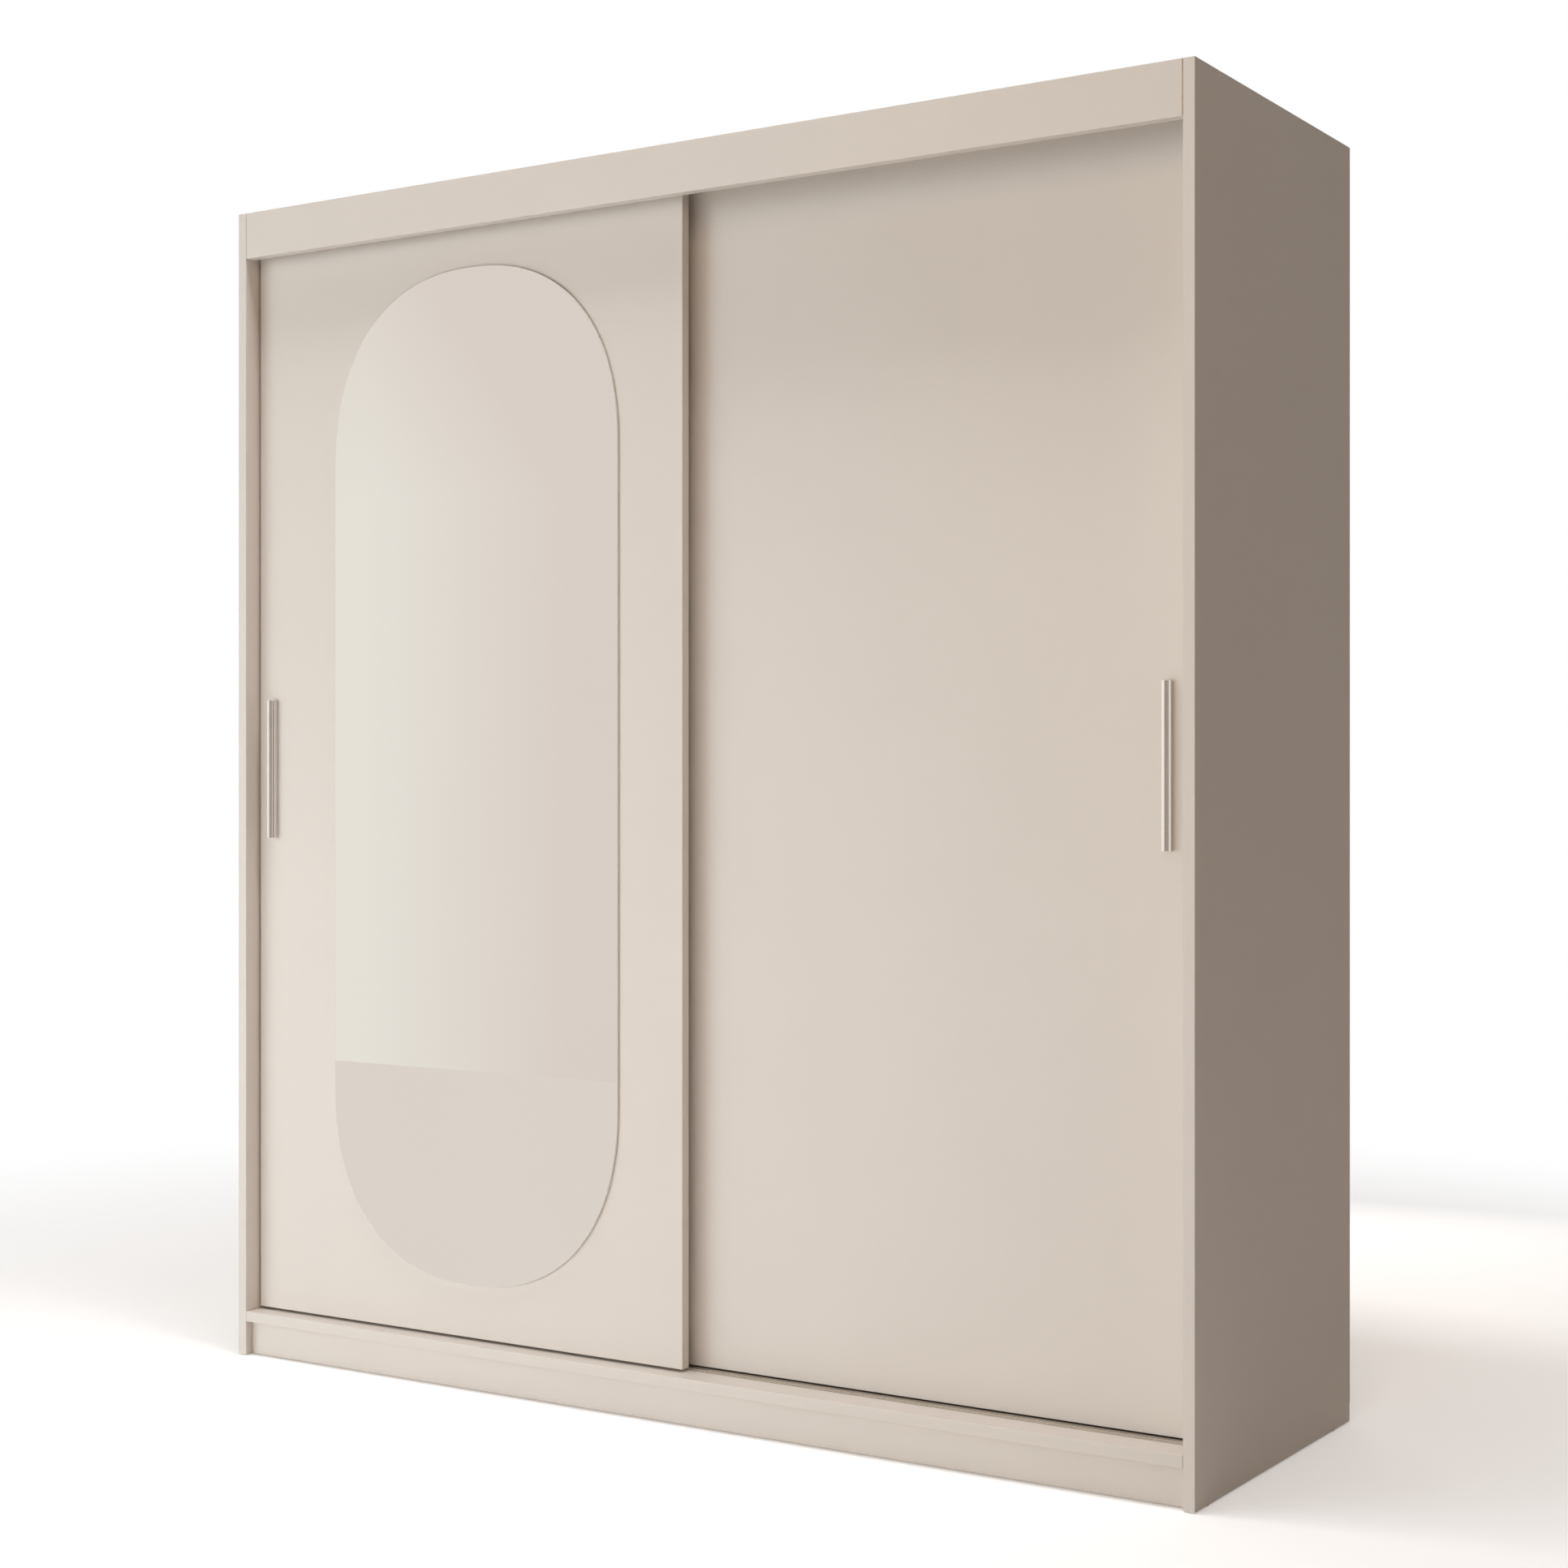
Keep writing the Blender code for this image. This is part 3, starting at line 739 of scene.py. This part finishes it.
def oval_ring(x, centre, wide, high, steps=24):
    """A flat-sided oval across the X axis, its straight sides upright."""
    radius = wide / 2
    ring = []
    for side in (1, -1):
        for step in range(steps + 1):
            turn = math.pi * step / steps + (0 if side > 0 else math.pi)
            lift = side * (high / 2 - radius)
            ring.append(
                (x, centre.y + radius * math.cos(turn), centre.z + radius * math.sin(turn) + lift)
            )
    return ring


chrome = chrome_plate()
rail_wall = 0.0012
low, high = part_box("hanging_rail")
middle = (low + high) / 2
rail_wide, rail_high = high.y - low.y, high.z - low.z
rail_rings = [
    oval_ring(x, middle, rail_wide - 2 * inward, rail_high - 2 * inward)
    for x, inward in (
        (low.x, 0.0002),
        (low.x + 0.0002, 0),
        (high.x - 0.0002, 0),
        (high.x, 0.0002),
        (high.x, rail_wall),
        (low.x, rail_wall),
    )
]
rail = piece(
    "rail_tube", loft("rail_tube", rail_rings, True), "carcass", "chromed_steel", chrome, smooth=40
)
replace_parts(rail, "hanging_rail")
for end, inward in (("left", 1), ("right", -1)):
    node = "rail_socket_" + end
    low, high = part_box(node)
    wall_x, mouth_x = (low.x, high.x) if inward > 0 else (high.x, low.x)
    wide, tall = high.y - low.y, high.z - low.z
    clear = edge_break = 0.0003
    bore_in = (wide - rail_wide) / 2 - clear
    stages = [
        (wall_x, 0.0),
        (wall_x + inward * 0.0018, 0.0),
        (wall_x + inward * 0.0026, 0.0006),
        (mouth_x - inward * 0.0008, 0.0008),
        (mouth_x, 0.0014),
        (mouth_x, bore_in - edge_break),
        (mouth_x - inward * edge_break, bore_in),
        (wall_x + inward * 0.003, bore_in),
    ]
    rings = [oval_ring(x, middle, wide - 2 * inset, tall - 2 * inset) for x, inset in stages]
    cup = piece(
        "rail_cup_" + end, loft(node, rings), "carcass", "chromed_steel", chrome, smooth=40
    )
    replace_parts(cup, node)


# Tracks: extruded aluminium profiles in a pale champagne anodising.
# The upper one hangs under the top panel with a channel for each door, and has a rubber
# buffer at each end of each run; the lower one lies on the bottom panel and guides the doors.


def anodised_aluminium(name, darker, lighter, scale, roughness):
    """Satin anodised profile: soft metal sheen, with fine die lines along its length."""
    line_mm, patch_mm = 0.6, 60
    made, tree, shader = material(name, lighter, roughness, Metallic=1)
    place = add(tree, "ShaderNodeTexCoord").outputs["Object"]
    drawn = add(tree, "ShaderNodeMapping", {"Vector": place}, {"Scale": scale})
    lines = add(
        tree,
        "ShaderNodeTexNoise",
        {"Vector": drawn.outputs["Vector"]},
        {"Scale": 1000 / line_mm, "Detail": 2},
    )
    patch = add(
        tree, "ShaderNodeTexNoise", {"Vector": place}, {"Scale": 1000 / patch_mm, "Detail": 2}
    )
    toned(tree, shader, patch.outputs["Fac"], darker, lighter)
    polished(tree, shader, lines.outputs["Fac"], roughness - 0.07, roughness + 0.07)
    embossed(tree, shader, lines.outputs["Fac"], 0.01, 0.35)
    return made


def buffer_rubber():
    """Moulded black rubber: dark and dull, with a slight bloom."""
    bloom_mm = 4
    made, tree, shader = material("rubber", "333231", 0.82)
    place = add(tree, "ShaderNodeTexCoord").outputs["Object"]
    bloom = add(
        tree, "ShaderNodeTexNoise", {"Vector": place}, {"Scale": 1000 / bloom_mm, "Detail": 4}
    )
    toned(tree, shader, bloom.outputs["Fac"], "2b2a29", "403e3d")
    polished(tree, shader, bloom.outputs["Fac"], 0.72, 0.9)
    embossed(tree, shader, bloom.outputs["Fac"], 0.05, 0.4)
    return made


along_x, along_z = (0.01, 1, 1), (1, 1, 0.01)
track_metal = anodised_aluminium("anodised_track", "c3beb6", "cfcac2", along_x, 0.36)
rubber = buffer_rubber()
wears(track_metal, "top_track", "bottom_track")
wears(rubber, *[f"track_stop_{row}_{end}" for row in ROWS for end in ENDS])

flat_profile = [(0, -0.0006), (0.0034, -0.0006), (0.0036, 0.0001), (0.0032, 0.0004), (0, 0.0005)]
flat_screw = headed_fixing("flat_screw", flat_profile, 0.0021, 0.00045, 0.0009)
front_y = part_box("side_left")[0].y
track_screw_gap = 0.26
top_web, top_screws_in = 0.002, 0.080
bottom_web, bottom_screws_in = 0.001, 0.0795
for name, screw, in_from_front, z, up, seed in [
    ("top_track", pan_screw, top_screws_in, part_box("top_track")[1].z - top_web, -1, 3),
    ("bottom_track", flat_screw, bottom_screws_in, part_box("bottom_track")[0].z + bottom_web, 1, 4),
]:
    places = [
        (Vector((track_screw_gap * step, front_y + in_from_front, z)), (0, 0, up))
        for step in range(-3, 4)
    ]
    set_fixings(name + "_screws", screw, places, "carcass", seed=seed)
bpy.data.objects.remove(flat_screw)


# Doors: 18 mm boards banded all round, each hung from two steel plates by wheels.
# The plates, the guides at the bottom and the handles are screwed on from behind.

doors = {"front": ("front_door", "door_left"), "rear": ("rear_door", "door_right")}
bolt_profile = [(0, -0.0004), (0.0044, -0.0004), (0.0046, 0.0003), (0.0038, 0.0014), (0, 0.0022)]
bolt = headed_fixing("handle_bolt", bolt_profile, 0.0025, 0.0005, 0.0011)
hanger_holes_across, hanger_holes_up = (-0.021, 0.021), (0.012, 0.038)
guide_holes_across, guide_holes_down = (-0.012, 0.012), 0.010
guide_plate = 0.0033
bolt_apart = 0.160
for row, (body, panel) in doors.items():
    dress_board(nodes[panel], "y", ["+x", "-x", "+z", "-z"], door_film)
    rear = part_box(panel)[1].y
    places = []
    for end in ENDS:
        hanger = f"hanger_{row}_{end}"
        low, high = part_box(hanger)
        middle = (low + high) / 2
        wears(zinc, hanger, f"axle_{row}_{end}")
        places += [
            (Vector((middle.x + across, high.y, low.z + up)), (0, 1, 0))
            for across in hanger_holes_across
            for up in hanger_holes_up
        ]
        low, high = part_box(f"guide_{row}_{end}")
        middle = (low + high) / 2
        places += [
            (Vector((middle.x + across, rear + guide_plate, high.z - guide_holes_down)), (0, 1, 0))
            for across in guide_holes_across
        ]
    set_fixings(row + "_door_screws", pan_screw, places, body, seed=5)
    low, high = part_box("handle_left" if row == "front" else "handle_right")
    middle = (low + high) / 2
    bolts = [
        (Vector((middle.x, rear, middle.z + up)), (0, 1, 0))
        for up in (-bolt_apart / 2, bolt_apart / 2)
    ]
    set_fixings(row + "_door_handle_bolts", bolt, bolts, body, seed=6)
bpy.data.objects.remove(bolt)
bpy.data.objects.remove(pan_screw)


# Wheels: grooved nylon tyres pressed on small ball bearings, two over each door.
# The groove runs on the bead of the track.

tyre_profile = [
    (0.0071, 0.0030),
    (0.0075, 0.0035),
    (0.0137, 0.0035),
    (0.0142, 0.0032),
    (0.0141, 0.0030),
    (0.0122, 0.0010),
    (0.0120, 0.0006),
    (0.0120, -0.0006),
    (0.0122, -0.0010),
    (0.0141, -0.0030),
    (0.0142, -0.0032),
    (0.0137, -0.0035),
    (0.0075, -0.0035),
    (0.0071, -0.0030),
]
race_profiles = [
    [(0.0058, 0.0025), (0.0071, 0.0025), (0.0071, -0.0025), (0.0058, -0.0025), (0.0060, 0)],
    [(0.0028, 0.0025), (0.0042, 0.0025), (0.0041, 0), (0.0042, -0.0025), (0.0028, -0.0025)],
]


def bearing_tree():
    """A ring of balls that stands across the Y axis."""
    tree, given = tree_with(
        "bearing_balls",
        Ball_Count="Int",
        Ball_Radius="Float",
        Ring_Radius="Float",
        Centre="Vector",
        Finish="Material",
    )
    ring = add(
        tree,
        "GeometryNodeMeshCircle",
        {"Vertices": given["Ball Count"], "Radius": given["Ring Radius"]},
    )
    ball = add(
        tree, "GeometryNodeMeshIcoSphere", {"Radius": given["Ball Radius"]}, {"Subdivisions": 3}
    )
    balls = add(
        tree,
        "GeometryNodeInstanceOnPoints",
        {"Points": ring.outputs["Mesh"], "Instance": ball.outputs["Mesh"]},
    )
    placed = add(
        tree,
        "GeometryNodeTransform",
        {"Geometry": balls.outputs["Instances"], "Translation": given["Centre"]},
        {"Rotation": (math.pi / 2, 0, 0)},
    )
    return ended(tree, placed.outputs["Geometry"], given["Finish"])


bearing_balls = bearing_tree()
for row in ROWS:
    for end in ENDS:
        node = f"wheel_{row}_{end}"
        low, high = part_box(node)
        place = Matrix.Translation((low + high) / 2) @ Matrix.Rotation(math.pi / 2, 4, "X")
        tyre = lathe(node, tyre_profile, 72, True)
        tyre.transform(place)
        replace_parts(piece(node + "_tyre", tyre, node, "nylon", nylon, smooth=40), node)
        for name, profile in zip(("outer", "inner"), race_profiles):
            race = lathe(node, profile, 48, True)
            race.transform(place)
            piece(f"{node}_{name}_race", race, node, "zinc_steel", zinc, smooth=40)
        balls = grown(
            node + "_balls",
            bearing_balls,
            [((0, 0, 0), (0, 0, 1))],
            Ball_Count=8,
            Ball_Radius=0.0009,
            Ring_Radius=0.0050,
            Centre=(low + high) / 2,
            Finish=chrome,
        )
        piece(node + "_balls", balls, node, "chromed_steel", smooth=60)


# Mirror: 4 mm silvered glass glued on the left door, straight-sided with squarish round ends.
# Its edge is ground flat with a small chamfer on each side.

mirror_end = 0.320
mirror_power = 2.3
mirror_chamfer = 0.0009


def silvered_glass():
    """A silver coating seen through clear float glass: a sharp image, a touch warm."""
    ripple_mm = 400
    made, tree, shader = material("silvered_mirror", "f7f7f5", 0.0, Metallic=1)
    place = add(tree, "ShaderNodeTexCoord").outputs["Object"]
    ripple = add(
        tree, "ShaderNodeTexNoise", {"Vector": place}, {"Scale": 1000 / ripple_mm, "Detail": 1}
    )
    toned(tree, shader, ripple.outputs["Fac"], "f6f6f4", "f8f8f6")
    return made


def ground_edge_and_painted_highlight():
    """Ground, polished glass edge, slightly frosted by the wheel; nearly white, partly painted
    highlight.
    """
    grind_mm = 0.4
    made, tree, shader = material("ground_glass_edge", "e4e4e0", 0.18, IOR=1.52)
    place = add(tree, "ShaderNodeTexCoord").outputs["Object"]
    grind = add(
        tree, "ShaderNodeTexNoise", {"Vector": place}, {"Scale": 1000 / grind_mm, "Detail": 2}
    )
    # Painted highlight: both colours are lighter than ground glass, so the side-lit chamfer reads
    # bright.
    toned(tree, shader, grind.outputs["Fac"], "dcdcd8", "eceae6")
    polished(tree, shader, grind.outputs["Fac"], 0.12, 0.3)
    embossed(tree, shader, grind.outputs["Fac"], 0.02, 0.3)
    return made


def oval_glass_tree():
    """A flat glass whose outline is two superellipse halves joined by straight sides.

    It starts as a drum of four rings, and each point's angle gives its place on the outline.
    """
    tree, given = tree_with(
        "oval_glass",
        Outline_Points="Int",
        Half_Width="Float",
        Straight="Float",
        End_Rise="Float",
        Power="Float",
        Thickness="Float",
        Chamfer="Float",
        Centre="Vector",
        Edge="Material",
        Finish="Material",
    )

    def sum_of(operation, first, second=None):
        node = add(tree, "ShaderNodeMath", operation=operation)
        for socket, value in zip(node.inputs, (first, second)):
            if isinstance(value, bpy.types.NodeSocket):
                tree.links.new(value, socket)
            elif value is not None:
                socket.default_value = value
        return node.outputs["Value"]

    drum = add(
        tree,
        "GeometryNodeMeshCylinder",
        {"Vertices": given["Outline Points"]},
        {"Side Segments": 3, "Radius": 1, "Depth": 3},
    )
    place = add(tree, "GeometryNodeInputPosition").outputs["Position"]
    axes = add(tree, "ShaderNodeSeparateXYZ", {"Vector": place}).outputs
    turn = sum_of("ARCTAN2", axes["Y"], axes["X"])
    cosine, sine = sum_of("COSINE", turn), sum_of("SINE", turn)
    exponent = sum_of("DIVIDE", 2.0, given["Power"])
    outer_ring = sum_of("GREATER_THAN", sum_of("ABSOLUTE", axes["Z"]), 1.0)
    inset = sum_of("MULTIPLY", outer_ring, given["Chamfer"])
    reach = sum_of("POWER", sum_of("ABSOLUTE", cosine), exponent)
    across = sum_of("MULTIPLY", reach, sum_of("SIGN", cosine))
    across = sum_of("MULTIPLY", across, sum_of("SUBTRACT", given["Half Width"], inset))
    rise = sum_of("POWER", sum_of("ABSOLUTE", sine), exponent)
    rise = sum_of("MULTIPLY", rise, sum_of("SUBTRACT", given["End Rise"], inset))
    along = sum_of("MULTIPLY", sum_of("ADD", rise, given["Straight"]), sum_of("SIGN", sine))
    half = sum_of("MULTIPLY", given["Thickness"], 0.5)
    notch = sum_of("SUBTRACT", given["Chamfer"], inset)
    level = sum_of("MULTIPLY", sum_of("SUBTRACT", half, notch), sum_of("SIGN", axes["Z"]))
    facing_front = sum_of("MULTIPLY", level, -1.0)
    outline = add(tree, "ShaderNodeCombineXYZ", {"X": across, "Y": facing_front, "Z": along})
    shaped = add(
        tree,
        "GeometryNodeSetPosition",
        {
            "Geometry": drum.outputs["Mesh"],
            "Position": outline.outputs["Vector"],
            "Offset": given["Centre"],
        },
    )
    edged = add(
        tree,
        "GeometryNodeSetMaterial",
        {"Geometry": shaped.outputs["Geometry"], "Material": given["Edge"]},
    )
    real = add(
        tree, "GeometryNodeRealizeInstances", {"Geometry": edged.outputs["Geometry"]}
    )
    silvered = add(
        tree,
        "GeometryNodeSetMaterial",
        {
            "Geometry": real.outputs["Geometry"],
            "Selection": drum.outputs["Top"],
            "Material": given["Finish"],
        },
    )
    add(tree, "NodeGroupOutput", {"Geometry": silvered.outputs["Geometry"]})
    return tree


low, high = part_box("mirror")
glass = grown(
    "mirror_glass",
    oval_glass_tree(),
    [((0, 0, 0), (0, 0, 1))],
    Outline_Points=256,
    Half_Width=(high.x - low.x) / 2,
    Straight=(high.z - low.z) / 2 - mirror_end,
    End_Rise=mirror_end,
    Power=mirror_power,
    Thickness=high.y - low.y,
    Chamfer=mirror_chamfer,
    Centre=(low + high) / 2,
    Edge=ground_edge_and_painted_highlight(),
    Finish=silvered_glass(),
)
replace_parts(piece("mirror_glass", glass, "front_door", "mirror_glass", smooth=25), "mirror")


# Handles: stepped bars cut from an aluminium extrusion in pale satin anodising.
# Each is bolted through its door near the outer edge.

handle_metal = anodised_aluminium("anodised_handle", "dad8d4", "e4e2df", along_z, 0.24)
wears(handle_metal, "handle_left", "handle_right")


# Floor, light and camera.
# A plain pale floor under a soft window-like light from the left.

scene = bpy.context.scene
scene.view_settings.view_transform = "Standard"


def studio_floor():
    """A pale matt floor that fades into the white surroundings, and is plain in reflections."""
    made, tree, shader = material("pale_floor", "f2f1ef", 0.9)
    place = add(tree, "ShaderNodeTexCoord").outputs["Object"]
    distance = add(tree, "ShaderNodeVectorMath", {0: place}, operation="LENGTH")
    fade = add(
        tree,
        "ShaderNodeMapRange",
        {"Value": distance.outputs["Value"]},
        {"From Min": 1.1, "From Max": 3.4},
        interpolation_type="SMOOTHSTEP",
    )
    path = add(tree, "ShaderNodeLightPath")
    seen = add(
        tree,
        "ShaderNodeMath",
        {0: fade.outputs["Result"], 1: path.outputs["Is Camera Ray"]},
        operation="MULTIPLY",
    )
    glow = add(
        tree,
        "ShaderNodeMath",
        {0: path.outputs["Is Camera Ray"]},
        {1: 0.35},
        operation="MULTIPLY",
    )
    pale = add(tree, "ShaderNodeEmission", {"Strength": glow.outputs["Value"]})
    near = add(
        tree, "ShaderNodeAddShader", {0: shader.outputs["BSDF"], 1: pale.outputs["Emission"]}
    )
    white = add(tree, "ShaderNodeEmission", values={"Strength": 1.0})
    mixed = add(
        tree,
        "ShaderNodeMixShader",
        {0: seen.outputs["Value"], 1: near.outputs["Shader"], 2: white.outputs["Emission"]},
    )
    plain = add(tree, "ShaderNodeEmission", values={"Color": linear("e2d9d1"), "Strength": 1.0})
    shown = add(
        tree,
        "ShaderNodeMixShader",
        {
            0: path.outputs["Is Glossy Ray"],
            1: mixed.outputs["Shader"],
            2: plain.outputs["Emission"],
        },
    )
    tree.links.new(shown.outputs["Shader"], tree.nodes["Material Output"].inputs["Surface"])
    bpy.ops.mesh.primitive_plane_add(size=60, location=(0, 0, 0))
    floor = bpy.context.object
    floor.name = "floor"
    floor.data.materials.append(made)


# Painted highlights for satin metal: (place along the wall, glow level) where the wall glows bright
# or dim.
WALL_LIGHT = [(0.406, 1.0), (0.428, 0.5), (0.522, 0.5), (0.544, 0.85), (0.74, 0.85), (0.78, 0.36)]


def studio_wall():
    """A glowing wall far in front that lights nothing: a painted reflection, seen only in the
    mirror and in polished metal.

    It is warmer toward the right and the top. The mirror sees it evenly bright; satin metal sees
    it bright in two stretches, like tall windows, and dim at the far right, which paints the
    highlights on the handles.
    """
    made = bpy.data.materials.new("pale_wall")
    made.use_nodes = True
    tree = made.node_tree
    tree.nodes.clear()
    place = add(tree, "ShaderNodeTexCoord").outputs["Object"]
    parts = add(tree, "ShaderNodeSeparateXYZ", {"Vector": place})
    across = add(
        tree,
        "ShaderNodeMapRange",
        {"Value": parts.outputs["X"]},
        {"From Min": -0.054, "From Max": 0.003},
    )
    upward = add(
        tree,
        "ShaderNodeMapRange",
        {"Value": parts.outputs["Y"]},
        {"From Min": 0.1, "From Max": -0.05, "To Max": 0.6},
    )
    warmth = add(
        tree, "ShaderNodeMath", {0: across.outputs["Result"], 1: upward.outputs["Result"]}
    )
    tint = add(tree, "ShaderNodeMix", {"Factor": warmth.outputs["Value"]}, data_type="RGBA")
    tint.inputs["A"].default_value = linear("ece8e0")
    tint.inputs["B"].default_value = linear("e0d5ce")
    along = add(tree, "ShaderNodeMath", {0: parts.outputs["X"]}, {1: 0.5}, operation="ADD")
    light = add(tree, "ShaderNodeValToRGB", {"Fac": along.outputs["Value"]})
    stops = light.color_ramp.elements
    for spot, level in WALL_LIGHT:
        stop = stops[0] if spot == WALL_LIGHT[0][0] else stops.new(spot)
        stop.position = spot
        stop.color = (level, level, level, 1)
    stops.remove(stops[-1])
    strength = add(
        tree, "ShaderNodeMath", {0: light.outputs["Color"]}, {1: 2.0}, operation="MULTIPLY"
    )
    path = add(tree, "ShaderNodeLightPath")
    seen = add(
        tree,
        "ShaderNodeMix",
        {"Factor": path.outputs["Is Singular Ray"], "A": strength.outputs["Value"]},
        {"B": 1.0},
        data_type="FLOAT",
    )
    glow = add(
        tree,
        "ShaderNodeEmission",
        {"Color": tint.outputs["Result"], "Strength": seen.outputs["Result"]},
    )
    add(tree, "ShaderNodeOutputMaterial", {"Surface": glow.outputs["Emission"]})
    bpy.ops.mesh.primitive_plane_add(size=1, location=(-3, -3.9, 2.5), rotation=(-math.pi / 2, 0, 0))
    wall = bpy.context.object
    wall.name = "wall"
    wall.scale = (16, 5, 1)
    wall.data.materials.append(made)
    wall.visible_camera = False
    wall.visible_diffuse = False
    wall.visible_shadow = False


def lamp(name, location, target, size, power, colour):
    light = bpy.data.lights.new(name, "AREA")
    light.shape = "RECTANGLE"
    light.size, light.size_y = size
    light.energy = power
    light.color = linear(colour)[:3]
    obj = bpy.data.objects.new(name, light)
    obj.location = location
    obj.rotation_euler = (Vector(target) - Vector(location)).to_track_quat("-Z", "Y").to_euler()
    scene.collection.objects.link(obj)
    obj.visible_glossy = False
    obj.visible_camera = False


def studio_sky():
    """White to the camera, pale in reflections, and a dim warm fill as light."""
    world = bpy.data.worlds.new("studio")
    scene.world = world
    world.use_nodes = True
    tree = world.node_tree
    tree.nodes.clear()
    path = add(tree, "ShaderNodeLightPath")
    seen = add(tree, "ShaderNodeMix", {"Factor": path.outputs["Is Glossy Ray"]}, data_type="RGBA")
    seen.inputs["A"].default_value = (0.06, 0.03, 0.012, 1)
    seen.inputs["B"].default_value = linear("e2ddd4")
    shown = add(tree, "ShaderNodeMix", {"Factor": path.outputs["Is Camera Ray"]}, data_type="RGBA")
    tree.links.new(seen.outputs["Result"], shown.inputs["A"])
    shown.inputs["B"].default_value = (1, 1, 1, 1)
    sky = add(tree, "ShaderNodeBackground", {"Color": shown.outputs["Result"]})
    add(tree, "ShaderNodeOutputWorld", {"Surface": sky.outputs["Background"]})


studio_floor()
studio_wall()
studio_sky()
lamp("window", (-4.2, -5.2, 2.6), (0, 0, 0.9), (3.0, 3.0), 115, "e2f3fe")
lamp("overhead", (0.1, -0.75, 4.8), (0.1, -0.75, 0), (3.2, 0.6), 112, "faf9fc")
lamp("front_fill", (-0.5, -3.6, 0.5), (-0.5, 0, 0.5), (5.0, 0.9), 27, "fff3e4")
lamp("low_fill", (-1.2, -2.0, 0.3), (-0.4, -0.3, 0.1), (3.2, 0.5), 15, "eaf4ff")
lamp("side_fill", (1.9, -3.4, 3.8), (0.5, 0, 1.2), (1.6, 1.6), 26, "ffe8d2")
lamp("back_fill", (-0.3, 2.2, 1.2), (-0.1, 0.3, 1.0), (2.4, 1.8), 26, "fff8f0")

camera = bpy.data.cameras.new("camera")
camera.lens = 58.77
camera.sensor_width = 36
camera.shift_x = 0.0200
camera.shift_y = -0.0011
viewer = bpy.data.objects.new("camera", camera)
viewer.location = (2.3070, -3.5762, 1.0039)
viewer.rotation_euler = (math.pi / 2, 0, math.radians(33.077))
scene.collection.objects.link(viewer)
scene.camera = viewer
